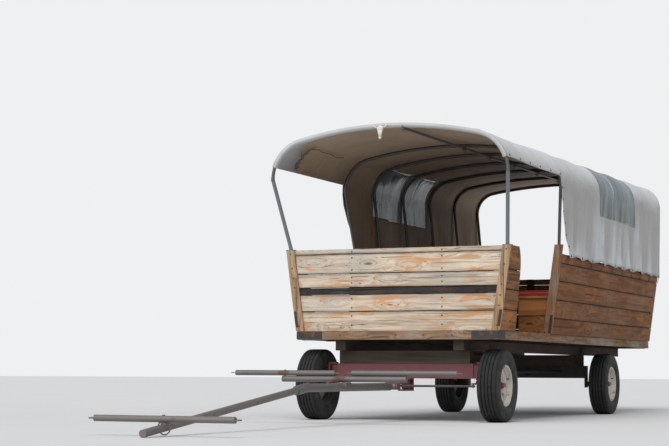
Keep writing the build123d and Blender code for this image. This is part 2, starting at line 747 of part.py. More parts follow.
# Steered running gear: knuckles, tie rod and the steering base under the front axle
ARM_TOP = EAR_LOW + 4.0
ARM_LOW = ARM_TOP - ARM_T
TIE_Z = ARM_LOW - GAP - TIE_EYE_R / 2
TIE_EYE_T = TIE_EYE_R
BACK_IN = KINGPIN_X + BOSS_R + 8.0
BACK_OUT = BACK_IN + 20.0
with BuildPart() as knuckle:
    add(upright(KINGPIN_X, 0, (EAR_LOW, EAR_TOP + EAR_T), KINGPIN_R))
    for low in (EAR_LOW, EAR_TOP):
        add(upright(KINGPIN_X, 0, (low, low + EAR_T), BOSS_R))
        add(slab((KINGPIN_X, BACK_OUT), (-30, 30), (low, low + EAR_T)))
    add(slab((BACK_IN, BACK_OUT), (-32, 32), (DROP_LOW, EAR_TOP + EAR_T)))
    add(spindle(BACK_OUT, 0))
    add(slab((KINGPIN_X - 18, KINGPIN_X + 18), (-STEER_ARM, 0), (ARM_LOW, ARM_TOP)))
    add(upright(KINGPIN_X, -STEER_ARM, (ARM_LOW, ARM_TOP), TIE_EYE_R))
    add(upright(KINGPIN_X, -STEER_ARM, (TIE_Z - TIE_EYE_T / 2 - GAP, ARM_LOW), TIE_PIN_R))
for name, piece in (("knuckle_left", knuckle.part), ("knuckle_right", mirror(knuckle.part, about=Plane.YZ))):
    with BuildPart() as side_knuckle:
        add(piece)
    save(side_knuckle, name)

with BuildPart() as tie_rod:
    add(rod((-KINGPIN_X, station(-STEER_ARM), TIE_Z), (KINGPIN_X, station(-STEER_ARM), TIE_Z), TIE_R))
    for x in (-KINGPIN_X, 0.0, KINGPIN_X):
        eye = (TIE_Z - TIE_EYE_T / 2, TIE_Z + TIE_EYE_T / 2)
        add(upright(x, -STEER_ARM, eye, TIE_EYE_R))
    for x in (-KINGPIN_X, 0.0, KINGPIN_X):
        through = (TIE_Z - TIE_EYE_T, TIE_Z + TIE_EYE_T)
        add(upright(x, -STEER_ARM, through, TIE_PIN_R + RUNNING), mode=Mode.SUBTRACT)
save(tie_rod, "tie_rod")

BASE_LOW = PIN_EAR_LOW + ARM_T + GAP
BASE_TOP = PIN_EAR_TOP - GAP
BASE_HALF = 35.0
CROSS_FRONT = HINGE_AHEAD - 55.0
CROSS_T = 20.0
CLEVIS_T = 14.0
CLEVIS_OUT = HINGE_HALF_W + GAP + CLEVIS_T
with BuildPart() as steering_base:
    add(upright(0, 0, (BASE_LOW, BASE_TOP), CENTRE_BOSS_R))
    add(slab((-BASE_HALF, BASE_HALF), (-CROSS_FRONT, 0), (ARM_LOW, BASE_TOP)))
    add(slab((-CLEVIS_OUT, CLEVIS_OUT), (-CROSS_FRONT, CROSS_T - CROSS_FRONT), (HINGE_Z - HINGE_EYE_R, BASE_TOP)))
    for side in (-1, 1):
        edges = sorted((side * (CLEVIS_OUT - CLEVIS_T), side * CLEVIS_OUT))
        with BuildPart(mode=Mode.PRIVATE) as ear:
            ear_plane = Plane(origin=(edges[0], station(-HINGE_AHEAD), HINGE_Z), x_dir=(0, 1, 0), z_dir=(1, 0, 0))
            with BuildSketch(ear_plane):
                Circle(HINGE_EYE_R)
                with Locations(((HINGE_AHEAD - CROSS_FRONT) / 2, 0)):
                    Rectangle(HINGE_AHEAD - CROSS_FRONT, 2 * HINGE_EYE_R)
            extrude(amount=CLEVIS_T)
        add(ear.part)
    pin_y = station(-HINGE_AHEAD)
    add(rod((-CLEVIS_OUT, pin_y, HINGE_Z), (CLEVIS_OUT, pin_y, HINGE_Z), HINGE_PIN_R))
    add(upright(0, -STEER_ARM, (TIE_Z - TIE_EYE_T / 2 - GAP, ARM_LOW), TIE_PIN_R))
    add(upright(0, 0, (BASE_LOW, BASE_TOP), CENTRE_PIN_R + RUNNING), mode=Mode.SUBTRACT)
save(steering_base, "steering_base")

# Drawbar: level tongue tube, and the pole that slopes from its collar to the ground
bend = Vector(0, station(-HINGE_AHEAD - TONGUE_L), HINGE_Z)
along = Vector(0, -cos(POLE_DROP), -sin(POLE_DROP))
above = Vector(0, -sin(POLE_DROP), cos(POLE_DROP))
SADDLE_TOP = HINGE_Z + TONGUE_R + SADDLE_T
EVENER_Z = SADDLE_TOP + TURN_GAP + EVENER_R
TREE_Z = EVENER_Z + EVENER_R + TURN_GAP + TREE_R
with BuildPart() as tongue:
    eye_y = station(-HINGE_AHEAD)
    add(rod((-HINGE_HALF_W, eye_y, HINGE_Z), (HINGE_HALF_W, eye_y, HINGE_Z), HINGE_EYE_R))
    add(rod((0, eye_y - HINGE_EYE_R / 2, HINGE_Z), bend, TONGUE_R))
    add(rod(bend - along * BOARD_T, bend + along * COLLAR_L, COLLAR_R))
    add(rod(bend, bend + along * (COLLAR_L + GAP), POLE_R + SEAM), mode=Mode.SUBTRACT)
    add(slab((-50, 50), (-EVENER_AHEAD - 60, -EVENER_AHEAD + 60), (HINGE_Z, SADDLE_TOP)))
    add(upright(0, -EVENER_AHEAD, (HINGE_Z, EVENER_Z + EVENER_R + GAP), PIN_R))
    pin_bore = rod((-HINGE_HALF_W, eye_y, HINGE_Z), (HINGE_HALF_W, eye_y, HINGE_Z), HINGE_PIN_R + RUNNING)
    add(pin_bore, mode=Mode.SUBTRACT)
save(tongue, "tongue")

YOKE_PIN_AT = POLE_L - YOKE_BACK
yoke_seat = bend + along * YOKE_PIN_AT
YOKE_LIFT = POLE_R + SADDLE_T + TURN_GAP + YOKE_R
with BuildPart() as pole:
    add(rod(bend + along * SEAM, bend + along * POLE_L, POLE_R))
    add(rod(yoke_seat, yoke_seat + above * (POLE_R + SADDLE_T), POLE_R - 4))
    add(rod(yoke_seat, yoke_seat + above * (YOKE_LIFT + YOKE_R + GAP), PIN_R))
save(pole, "pole")


def eye_bar(centre, half_length, radius, up, pin_hole):
    """Pipe across the wagon with an upright pin hole in its middle and a flat trace eye at each end."""
    reach_out = Vector(half_length + EYE_OUT, 0, 0)
    hang = Plane(origin=centre - up * (EYE_T / 2), x_dir=(1, 0, 0), z_dir=up)
    with BuildPart() as piece:
        add(rod(centre - Vector(half_length, 0, 0), centre + Vector(half_length, 0, 0), radius))
        with BuildSketch(hang):
            with GridLocations(2 * reach_out.X, 1, 2, 1):
                Circle(EYE_R)
            with GridLocations(2 * half_length, 1, 2, 1):
                Rectangle(2 * EYE_OUT, 2 * EYE_R)
        extrude(amount=EYE_T)
        with BuildSketch(hang):
            with GridLocations(2 * reach_out.X, 1, 2, 1):
                Circle(EYE_HOLE_R)
        extrude(amount=EYE_T, mode=Mode.SUBTRACT)
        add(rod(centre - up * 2 * radius, centre + up * 2 * radius, pin_hole), mode=Mode.SUBTRACT)
    return piece.part


# The yoke hangs on an upright pin, and its ring goes loosely round the pole
yoke_centre = yoke_seat + above * YOKE_LIFT
with BuildPart() as ring:
    with BuildSketch(Plane(origin=yoke_seat + Vector(YOKE_RING_R, 0, 0), x_dir=(1, 0, 0), z_dir=above)):
        Circle(YOKE_RING_WIRE)
    revolve(axis=Axis(yoke_seat, along))

with BuildPart() as neck_yoke:
    add(eye_bar(yoke_centre, YOKE_HALF_L, YOKE_R, above, PIN_R + RUNNING))
    add(ring.part)
    add(rod(yoke_seat, yoke_seat + above * (YOKE_LIFT + YOKE_R), PIN_R + RUNNING), mode=Mode.SUBTRACT)
save(neck_yoke, "neck_yoke")

with BuildPart() as evener:
    centre = Vector(0, station(-EVENER_AHEAD), EVENER_Z)
    add(rod(centre - Vector(EVENER_ARM + 2 * PIN_R, 0, 0), centre + Vector(EVENER_ARM + 2 * PIN_R, 0, 0), EVENER_R))
    for side in (-1, 1):
        add(upright(side * EVENER_ARM, -EVENER_AHEAD, (EVENER_Z, TREE_Z + TREE_R + GAP), TREE_PIN_R))
    through = (EVENER_Z - 2 * EVENER_R, EVENER_Z + 2 * EVENER_R)
    add(upright(0, -EVENER_AHEAD, through, PIN_R + RUNNING), mode=Mode.SUBTRACT)
save(evener, "evener")

for name, side in (("singletree_left", 1), ("singletree_right", -1)):
    with BuildPart() as singletree:
        centre = Vector(side * EVENER_ARM, station(-EVENER_AHEAD), TREE_Z)
        add(eye_bar(centre, TREE_HALF_L, TREE_R, Vector(0, 0, 1), TREE_PIN_R + RUNNING))
    save(singletree, name)

# Wheels: sections run outboard along the axle (first value) and out from it (second value)
BARREL = (
    (-90, 204), (-84.5, 204), (-84.5, 190), (-60, 187.5), (-46, 176), (44, 176), (58, 187.5), (84.5, 190),
    (84.5, 204), (90, 204), (90, 185), (60, 182.5), (46, 171), (-48, 171), (-62, 182.5), (-90, 185),
)
DISC = ((6, 42), (6, 80), (42, 114), (47, 150), (36, 173), (28, 173), (40, 150), (35, 118), (0, 86), (0, 42))
HUB = (
    (-62, 0), (-62, 36), (-12, 36), (-12, HUB_FLANGE_R), (0, HUB_FLANGE_R), (0, HUB_R), (40, HUB_R), (44, 34),
    (44, HUB_CAP_R), (62, HUB_CAP_R), (68, 20), (68, 0),
)
WINDOW_ROOT_R = 106.0
WINDOW_TIP_R = 158.0
WINDOW_ROOT_HALF = 7.0
WINDOW_TIP_HALF = 44.0


def axle_plane(side, back):
    """Section plane through a wheel's axle, with its first direction outboard."""
    return Plane(origin=(side * MID_X, station(back), TYRE_R), x_dir=(side, 0, 0), z_dir=(0, -side, 0))


def turned(side, back, outline):
    """Closed outline turned round a wheel's axle."""
    with BuildPart() as piece:
        with BuildSketch(axle_plane(side, back)):
            with BuildLine():
                Polyline(*outline, close=True)
            make_face()
        revolve(axis=Axis((0, station(back), TYRE_R), (1, 0, 0)))
    return piece.part


def tyre_part(side, back):
    """Tyre with a hollow casing, its beads between the rim's flanges."""
    bead = BEAD_R + SEAM
    with BuildPart() as piece:
        with BuildSketch(axle_plane(side, back)):
            with BuildLine():
                outer_l = ThreePointArc((-97, 214), (-TYRE_HALF_W, 272), (-101, 334))
                outer_r = ThreePointArc((97, 214), (TYRE_HALF_W, 272), (101, 334))
                shoulder_l = TangentArc(outer_l @ 1, (-TREAD_HALF_W, TYRE_R - 4), tangent=outer_l % 1)
                shoulder_r = TangentArc(outer_r @ 1, (TREAD_HALF_W, TYRE_R - 4), tangent=outer_r % 1)
                ThreePointArc(shoulder_l @ 1, (0, TYRE_R), shoulder_r @ 1)
                Polyline(outer_l @ 0, (-84.2, 205), (-84.2, bead), (-70, bead), (-84, 216))
                Polyline(outer_r @ 0, (84.2, 205), (84.2, bead), (70, bead), (84, 216))
                inner_l = ThreePointArc((-84, 216), (-100, 272), (-88, 330))
                inner_r = ThreePointArc((84, 216), (100, 272), (88, 330))
                ThreePointArc(inner_l @ 1, (0, TYRE_R - 15), inner_r @ 1)
            make_face()
        revolve(axis=Axis((0, station(back), TYRE_R), (1, 0, 0)))
    return piece.part


def rim_part(side, back):
    """Eight-spoke steel disc wheel: barrel and dished disc with triangular windows."""
    face = Plane(origin=(side * MID_X, station(back), TYRE_R), x_dir=(0, 1, 0), z_dir=(side, 0, 0))
    with BuildPart() as piece:
        add(turned(side, back, BARREL))
        add(turned(side, back, DISC))
        with BuildSketch(face):
            with PolarLocations(0, SPOKES):
                with BuildLine():
                    Polyline(
                        (WINDOW_ROOT_R, -WINDOW_ROOT_HALF),
                        (WINDOW_TIP_R, -WINDOW_TIP_HALF),
                        (WINDOW_TIP_R, WINDOW_TIP_HALF),
                        (WINDOW_ROOT_R, WINDOW_ROOT_HALF),
                        close=True,
                    )
                make_face()
        extrude(amount=RIM_HALF_W, mode=Mode.SUBTRACT)
    return piece.part


WHEELS = (
    ("front_left", 1, 0.0), ("front_right", -1, 0.0), ("rear_left", 1, WHEELBASE), ("rear_right", -1, WHEELBASE),
)
for name, side, back in WHEELS:
    with BuildPart() as tyre:
        add(tyre_part(side, back))
    save(tyre, f"tyre_{name}")
    with BuildPart() as rim:
        add(rim_part(side, back))
    save(rim, f"rim_{name}")
    with BuildPart() as hub:
        add(turned(side, back, HUB))
        bore_start = (side * (MID_X - HUB_INNER), station(back), TYRE_R)
        bore_end = (side * (MID_X + HUB_R), station(back), TYRE_R)
        add(rod(bore_start, bore_end, SPINDLE_R + RUNNING), mode=Mode.SUBTRACT)
    save(hub, f"hub_{name}")
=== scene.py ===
"""Covered passenger wagon: its cloth, padding, tyres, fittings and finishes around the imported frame.

Everything is in metres in the frame of the model: +Z is up, -Y is the way the wagon travels and +X is its
left side. Stations are measured back from the front axle.
"""
from __future__ import annotations

import json
import logging
import math
from collections.abc import Callable, Iterable, Sequence
from dataclasses import dataclass, field
from enum import Enum

import bmesh
import bpy
from mathutils import Matrix, Vector, noise

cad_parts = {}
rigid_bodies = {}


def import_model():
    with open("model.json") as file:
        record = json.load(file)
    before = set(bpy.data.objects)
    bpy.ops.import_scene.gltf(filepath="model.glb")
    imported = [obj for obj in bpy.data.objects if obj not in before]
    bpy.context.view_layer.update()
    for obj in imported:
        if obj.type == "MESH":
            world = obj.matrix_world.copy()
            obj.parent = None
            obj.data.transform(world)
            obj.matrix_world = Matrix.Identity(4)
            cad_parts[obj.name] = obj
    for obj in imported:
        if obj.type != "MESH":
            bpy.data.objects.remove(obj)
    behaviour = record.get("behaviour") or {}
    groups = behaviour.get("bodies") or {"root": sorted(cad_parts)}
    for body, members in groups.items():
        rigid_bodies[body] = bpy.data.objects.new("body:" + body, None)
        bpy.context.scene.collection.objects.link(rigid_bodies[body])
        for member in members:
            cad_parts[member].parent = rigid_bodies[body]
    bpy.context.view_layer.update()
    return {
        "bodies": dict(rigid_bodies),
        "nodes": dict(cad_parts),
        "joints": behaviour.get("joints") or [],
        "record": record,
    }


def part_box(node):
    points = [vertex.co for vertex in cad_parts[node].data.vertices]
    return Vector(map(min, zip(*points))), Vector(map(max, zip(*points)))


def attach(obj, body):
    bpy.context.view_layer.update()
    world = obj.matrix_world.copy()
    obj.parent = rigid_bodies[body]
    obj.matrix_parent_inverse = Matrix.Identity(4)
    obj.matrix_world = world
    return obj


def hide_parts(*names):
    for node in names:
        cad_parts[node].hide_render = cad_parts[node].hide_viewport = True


logging.basicConfig(level=logging.INFO, format="%(levelname)s %(message)s")
LOG = logging.getLogger("wagon")

Colour = tuple[float, float, float]
Socket = bpy.types.NodeSocket
Value = float | tuple[float, ...] | Socket

FULL_TURN = 2 * math.pi

# Underside of the box's side walls: height, half-width there, and half-width gained for each metre of height.
FLOOR = 0.9
HALF_FLOOR = 1.093
FLARE = 0.1414


class Side(Enum):
    """Side of the wagon, with the sign of its X."""

    LEFT = 1
    RIGHT = -1


class Grain(Enum):
    """Way that a board's grain runs."""

    BY_FACE = "by_face"
    ALONG = "along"
    ACROSS = "across"
    UPRIGHT = "upright"


def wall_x(height: float) -> float:
    """Half-width of the flared walls' outer faces at a height."""
    return HALF_FLOOR + (height - FLOOR) * FLARE


# Shader building


@dataclass
class Graph:
    """Adds nodes to one tree and feeds their sockets."""

    tree: bpy.types.NodeTree

    def feed(self, socket: Socket, value: Value) -> None:
        """Link a socket to another, or set its number, vector or colour.

        Args:
            socket: Input that takes the value.
            value: Output socket, number, or tuple.
        """
        if isinstance(value, bpy.types.NodeSocket):
            self.tree.links.new(value, socket)
        elif socket.type == "RGBA" and len(value) == 3:
            socket.default_value = (*value, 1.0)
        else:
            socket.default_value = value

    def node(
        self, kind: str, feeds: dict[str | int, Value] | None = None, **settings: object
    ) -> bpy.types.Node:
        """Add one node.

        Args:
            kind: Short name of the node type.
            feeds: Values for its inputs, by name or number.
            settings: Properties of the node.

        Returns:
            The new node.
        """
        made = self.tree.nodes.new(f"ShaderNode{kind}")
        for name, value in settings.items():
            setattr(made, name, value)
        for key, value in (feeds or {}).items():
            self.feed(made.inputs[key], value)
        return made

    def math(self, operation: str, first: Value, second: Value = 0.0) -> Socket:
        """Result of a two-value operation."""
        return self.node("Math", {0: first, 1: second}, operation=operation).outputs[0]

    def times(self, first: Value, second: Value) -> Socket:
        """Product of two numbers."""
        return self.math("MULTIPLY", first, second)

    def apart(self, first: Value, second: Value) -> Socket:
        """Distance between two numbers."""
        return self.math("ABSOLUTE", self.math("SUBTRACT", first, second))

    def vector(self, operation: str, first: Value, second: Value) -> Socket:
        """Result of a two-vector operation."""
        return self.node("VectorMath", {0: first, 1: second}, operation=operation).outputs[0]

    def stretch(self, vector: Value, shares: tuple[float, float, float]) -> Socket:
        """Vector with each part multiplied by its own number."""
        return self.vector("MULTIPLY", vector, shares)

    def parts(self, vector: Value) -> tuple[Socket, Socket, Socket]:
        """The three parts of a vector."""
        split = self.node("SeparateXYZ", {0: vector})
        return split.outputs[0], split.outputs[1], split.outputs[2]

    def joined(self, x: Value, y: Value, z: Value) -> Socket:
        """Vector of three parts."""
        return self.node("CombineXYZ", {0: x, 1: y, 2: z}).outputs[0]

    def cloud(
        self, vector: Value, scale: float, detail: float = 4.0, rough: float = 0.55, twist: float = 0.0
    ) -> Socket:
        """Soft noise from 0 to 1."""
        feeds = {"Vector": vector, "Scale": scale, "Detail": detail, "Roughness": rough, "Distortion": twist}
        return self.node("TexNoise", feeds).outputs[0]

    def band(self, value: Value, low: Value, high: Value) -> Socket:
        """Smooth step from 0 at low to 1 at high."""
        feeds = {"Value": value, "From Min": low, "From Max": high}
        return self.node("MapRange", feeds, interpolation_type="SMOOTHSTEP").outputs[0]

    def mix(self, share: Value, first: Value, second: Value, blend: str = "MIX") -> Socket:
        """Colour between two others."""
        feeds = {0: share, 6: first, 7: second}
        return self.node("Mix", feeds, data_type="RGBA", blend_type=blend).outputs[2]

    def shaded(self, colour: Value, shade: Value) -> Socket:
        """Colour multiplied by a number."""
        return self.mix(1.0, colour, self.joined(shade, shade, shade), "MULTIPLY")

    def between(self, share: Value, first: Value, second: Value) -> Socket:
        """Number between two others."""
        return self.node("Mix", {0: share, 2: first, 3: second}, data_type="FLOAT").outputs[0]

    def bump(
        self, height: Value, distance: float, strength: float = 1.0, normal: Socket | None = None
    ) -> Socket:
        """Normal of a relief of so many metres.

        Args:
            height: Height of the relief.
            distance: Size of a height of 1, in metres.
            strength: Share of the relief that is used.
            normal: Normal that it is laid over.

        Returns:
            The bumped normal.
        """
        feeds: dict[str | int, Value] = {"Height": height, "Distance": distance, "Strength": strength}
        if normal is not None:
            feeds["Normal"] = normal
        return self.node("Bump", feeds).outputs[0]

    def place(self) -> Socket:
        """Object coordinates."""
        return self.node("TexCoord").outputs["Object"]

    def group(self, tree: bpy.types.NodeTree, feeds: dict[str | int, Value]) -> bpy.types.Node:
        """Place a node group and feed it.

        Args:
            tree: The group.
            feeds: Values for its inputs, by name.

        Returns:
            The placed node.
        """
        made = self.tree.nodes.new("ShaderNodeGroup")
        made.node_tree = tree
        for key, value in feeds.items():
            self.feed(made.inputs[key], value)
        return made


class Effects:
    """Shader node groups that several finishes share, each built once."""

    def __init__(self) -> None:
        """Build all the groups."""
        self.grain = self.make_grain()
        self.rust = self.make_rust()
        self.dust = self.make_dust()
        self.weave = self.make_weave()
        self.weather = self.make_weather()

    @staticmethod
    def start(
        name: str, inputs: Sequence[tuple[str, str, float]], outputs: Sequence[str]
    ) -> tuple[Graph, dict[str, Socket], dict[str, Socket]]:
        """Start a group with named inputs and number outputs.

        Args:
            name: The group's name.
            inputs: Name, kind and start value of each input.
            outputs: Names of its outputs.

        Returns:
            The graph, its input sockets by name and its output sockets by name.
        """
        tree = bpy.data.node_groups.new(name, "ShaderNodeTree")
        for label, kind, start in inputs:
            made = tree.interface.new_socket(label, in_out="INPUT", socket_type=f"NodeSocket{kind}")
            if kind == "Float":
                made.default_value = start
        for label in outputs:
            tree.interface.new_socket(label, in_out="OUTPUT", socket_type="NodeSocketFloat")
        source = tree.nodes.new("NodeGroupInput")
        sink = tree.nodes.new("NodeGroupOutput")
        return (
            Graph(tree),
            {label: source.outputs[label] for label, _, _ in inputs},
            {label: sink.inputs[label] for label in outputs},
        )

    def make_grain(self) -> bpy.types.NodeTree:
        """Wood grain that runs along the first coordinate, with knots and drying checks.

        Returns:
            The finished group.
        """
        inputs = (("Position", "Vector", 0.0), ("Seed", "Float", 0.0), ("Knots", "Float", 1.0))
        outputs = ("Streaks", "Fibre", "Knot", "Check", "Relief")
        graph, source, sink = self.start("wood_grain", inputs, outputs)
        feeds = {0: (3.7, 1.9, 5.3), "Scale": source["Seed"]}
        shift = graph.node("VectorMath", feeds, operation="SCALE").outputs[0]
        spot = graph.vector("ADD", source["Position"], shift)
        stretched = graph.stretch(spot, (1.5, 5.0, 5.0))
        eyes = graph.node("TexVoronoi", {"Vector": stretched, "Scale": 1.0})
        eye = graph.times(graph.band(eyes.outputs["Distance"], 0.11, 0.035), source["Knots"])
        halo = graph.times(graph.band(eyes.outputs["Distance"], 0.42, 0.04), 0.12)
        bent = graph.vector("ADD", spot, graph.joined(0.0, halo, halo))
        streaks = graph.cloud(graph.stretch(bent, (1.1, 22.0, 22.0)), 1.0, 5.0, 0.6, 0.6)
        fibre = graph.cloud(graph.stretch(bent, (7.0, 210.0, 210.0)), 1.0, 3.0, 0.6)
        split = graph.cloud(graph.stretch(bent, (0.9, 75.0, 75.0)), 1.0, 2.0, 0.45, 0.3)
        check = graph.band(split, 0.635, 0.69)
        graph.feed(sink["Streaks"], streaks)
        graph.feed(sink["Fibre"], fibre)
        graph.feed(sink["Knot"], eye)
        graph.feed(sink["Check"], check)
        raised = graph.math("ADD", graph.times(streaks, 0.5), graph.times(fibre, 0.3))
        graph.feed(sink["Relief"], graph.math("SUBTRACT", raised, graph.times(check, 0.8)))
        return graph.tree

    def make_rust(self) -> bpy.types.NodeTree:
        """Rust patches with pitted relief and specks round them.

        Returns:
            The finished group.
        """
        inputs = (("Position", "Vector", 0.0), ("Scale", "Float", 6.0), ("Amount", "Float", 0.3))
        graph, source, sink = self.start("rust_patches", inputs, ("Patch", "Tone", "Relief"))
        spread = graph.node("TexNoise", {"Vector": source["Position"], "Detail": 7.0, "Roughness": 0.68})
        graph.feed(spread.inputs["Scale"], source["Scale"])
        level = graph.math("SUBTRACT", 0.78, graph.times(source["Amount"], 0.5))
        patch = graph.band(spread.outputs[0], level, graph.math("ADD", level, 0.09))
        fine = graph.cloud(source["Position"], 95.0, 5.0, 0.7)
        graph.feed(sink["Patch"], graph.times(patch, graph.band(fine, 0.25, 0.5)))
        graph.feed(sink["Tone"], fine)
        graph.feed(sink["Relief"], graph.times(patch, fine))
        return graph.tree

    def make_dust(self) -> bpy.types.NodeTree:
        """Road dust that thins out with height.

        Returns:
            The finished group.
        """
        inputs = (("Position", "Vector", 0.0), ("Top", "Float", 0.7), ("Amount", "Float", 0.5))
        graph, source, sink = self.start("road_dust", inputs, ("Cover",))
        _, _, height = graph.parts(source["Position"])
        ragged = graph.times(graph.cloud(source["Position"], 5.0, 6.0, 0.65), 0.5)
        level = graph.math("ADD", height, graph.math("SUBTRACT", ragged, 0.25))
        low = graph.band(level, source["Top"], -0.05)
        graph.feed(sink["Cover"], graph.times(low, source["Amount"]))
        return graph.tree

    def make_weave(self) -> bpy.types.NodeTree:
        """Plain weave of a cloth, from its own coordinates in metres.

        Returns:
            The finished group.
        """
        inputs = (("Cloth", "Vector", 0.0), ("Threads", "Float", 900.0))
        graph, source, sink = self.start("plain_weave", inputs, ("Relief",))
        across, along, _ = graph.parts(source["Cloth"])
        turns = graph.times(source["Threads"], math.pi)
        phases = [graph.times(way, turns) for way in (across, along)]
        waves = [graph.math("ABSOLUTE", graph.math("SINE", phase)) for phase in phases]
        graph.feed(sink["Relief"], graph.times(*waves))
        return graph.tree

    def make_weather(self) -> bpy.types.NodeTree:
        """Water marks, mildew specks and soft soiling of cloth, from its coordinates in metres.

        Returns:
            The finished group.
        """
        inputs = (("Cloth", "Vector", 0.0), ("Position", "Vector", 0.0))
        graph, source, sink = self.start("cloth_weather", inputs, ("Soil", "Runs", "Specks"))
        graph.feed(sink["Soil"], graph.band(graph.cloud(source["Position"], 1.7, 6.0, 0.62, 0.4), 0.38, 0.72))
        runs = graph.cloud(graph.stretch(source["Cloth"], (1.3, 13.0, 1.0)), 1.0, 5.0, 0.6)
        graph.feed(sink["Runs"], graph.band(runs, 0.47, 0.76))
        graph.feed(sink["Specks"], graph.band(graph.cloud(source["Position"], 42.0, 3.0, 0.6), 0.66, 0.78))
        return graph.tree


def board_rows(name: str, tops: Sequence[float]) -> bpy.types.NodeTree:
    """Group that tells the boards of a wall apart by height.

    Args:
        name: The group's name.
        tops: Top of each board in metres, from the lowest.

    Returns:
        Group with a seed for each board and the distance to the nearest joint.
    """
    graph, source, sink = Effects.start(name, (("Height", "Float", 0.0),), ("Seed", "Gap"))
    seed: Value = 0.0
    nearest: Value = 1.0
    for row, top in enumerate(tops):
        step = graph.math("GREATER_THAN", source["Height"], top)
        seed = graph.math("ADD", seed, graph.times(step, 1.37 + 0.21 * (row % 3)))
        gap = graph.apart(source["Height"], top + 0.002)
        nearest = graph.math("MINIMUM", nearest, gap)
    graph.feed(sink["Seed"], seed)
    graph.feed(sink["Gap"], nearest)
    return graph.tree


def new_material(name: str) -> tuple[bpy.types.Material, Graph, bpy.types.Node]:
    """Empty material with a Principled shader.

    Args:
        name: The material's name.

    Returns:
        The material, its graph and its Principled node.
    """
    material = bpy.data.materials.new(name)
    material.use_nodes = True
    material.node_tree.nodes.clear()
    graph = Graph(material.node_tree)
    shader = graph.node("BsdfPrincipled")
    output = graph.node("OutputMaterial")
    graph.tree.links.new(shader.outputs[0], output.inputs[0])
    return material, graph, shader


# Finishes


@dataclass(frozen=True)
class PlankFinish:
    """Sawn boards: grain, knots, checks, weathering and a worn stain."""

    name: str
    pale: Colour
    deep: Colour
    bare: Colour
    stain: Colour
    grain: Grain = Grain.BY_FACE
    tops: tuple[float, ...] = ()
    greyed: float = 0.3
    stained: float = 0.4
    knots: float = 1.0
    rough: float = 0.72
    dusty: float = 0.0
    streaked: float = 0.35

    def build(self, effects: Effects) -> bpy.types.Material:
        """Make the material.

        Args:
            effects: The shared node groups.

        Returns:
            The material.
        """
        material, graph, shader = new_material(self.name)
        place = graph.place()
        x, y, z = graph.parts(place)
        if self.grain is Grain.UPRIGHT:
            spot = graph.joined(z, x, y)
        elif self.grain is Grain.ALONG:
            spot = graph.joined(y, z, x)
        elif self.grain is Grain.ACROSS:
            spot = graph.joined(x, z, y)
        else:
            facing, _, _ = graph.parts(graph.node("NewGeometry").outputs["Normal"])
            sideways = graph.math("GREATER_THAN", graph.math("ABSOLUTE", facing), 0.5)
            spot = graph.joined(graph.between(sideways, x, y), z, graph.between(sideways, y, x))
        seed: Value = 0.0
        gap: Value = 1.0
        if self.tops:
            rows = graph.group(board_rows(f"{self.name}_rows", self.tops), {"Height": z})
            seed, gap = rows.outputs["Seed"], rows.outputs["Gap"]
        wood = graph.group(effects.grain, {"Position": spot, "Seed": seed, "Knots": self.knots}).outputs
        large = graph.cloud(graph.vector("ADD", place, graph.joined(seed, seed, seed)), 1.25, 5.0, 0.6, 0.5)
        shifted = graph.vector("ADD", spot, graph.joined(seed, 0.0, 0.0))
        blotch = graph.cloud(graph.stretch(shifted, (2.3, 7.0, 7.0)), 1.0, 6.0, 0.66, 0.8)
        streak = graph.cloud(graph.stretch(shifted, (1.7, 34.0, 34.0)), 1.0, 6.0, 0.7, 0.4)
        board = graph.node("TexWhiteNoise", {"W": seed}, noise_dimensions="1D").outputs["Value"]
        colour = graph.mix(graph.band(wood["Streaks"], 0.3, 0.72), self.pale, self.deep)
        greyed = graph.times(graph.band(large, 0.42, 0.66), self.greyed)
        colour = graph.mix(greyed, colour, self.bare)
        stained = graph.times(graph.band(blotch, 0.52, 0.63), self.stained)
        colour = graph.mix(stained, colour, self.stain)
        sooty = graph.times(graph.band(streak, 0.56, 0.68), self.streaked)
        colour = graph.mix(sooty, colour, tuple(0.3 * part for part in self.bare))
        shade = graph.between(board, 0.8, 1.14)
        colour = graph.shaded(colour, shade)
        knot = graph.times(wood["Knot"], 0.75)
        dark = graph.math("MAXIMUM", knot, graph.times(wood["Check"], 0.7))
        frayed = graph.cloud(graph.stretch(spot, (7.0, 40.0, 40.0)), 1.0)
        ragged = graph.times(frayed, 0.012)
        open_gap = graph.times(graph.band(graph.math("ADD", gap, ragged), 0.0135, 0.0095), 0.92)
        dirt = graph.times(graph.band(gap, 0.03, 0.004), 0.35)
        dark = graph.math("MAXIMUM", dark, graph.math("MAXIMUM", open_gap, dirt))
        colour = graph.mix(dark, colour, tuple(0.12 * part for part in self.deep))
        fibre = graph.between(wood["Fibre"], 0.86, 1.1)
        colour = graph.shaded(colour, fibre)
        if self.dusty:
            feeds = {"Position": place, "Top": 1.15, "Amount": self.dusty}
            cover = graph.group(effects.dust, feeds).outputs[0]
            colour = graph.mix(cover, colour, (0.3, 0.255, 0.205))
        graph.feed(shader.inputs["Base Color"], colour)
        dull = graph.between(wood["Streaks"], self.rough - 0.1, self.rough + 0.14)
        graph.feed(shader.inputs["Roughness"], dull)
        shader.inputs["Specular IOR Level"].default_value = 0.22
        relief = graph.math("SUBTRACT", wood["Relief"], graph.times(open_gap, 2.0))
        graph.feed(shader.inputs["Normal"], graph.bump(relief, 0.002, 0.8))
        return material


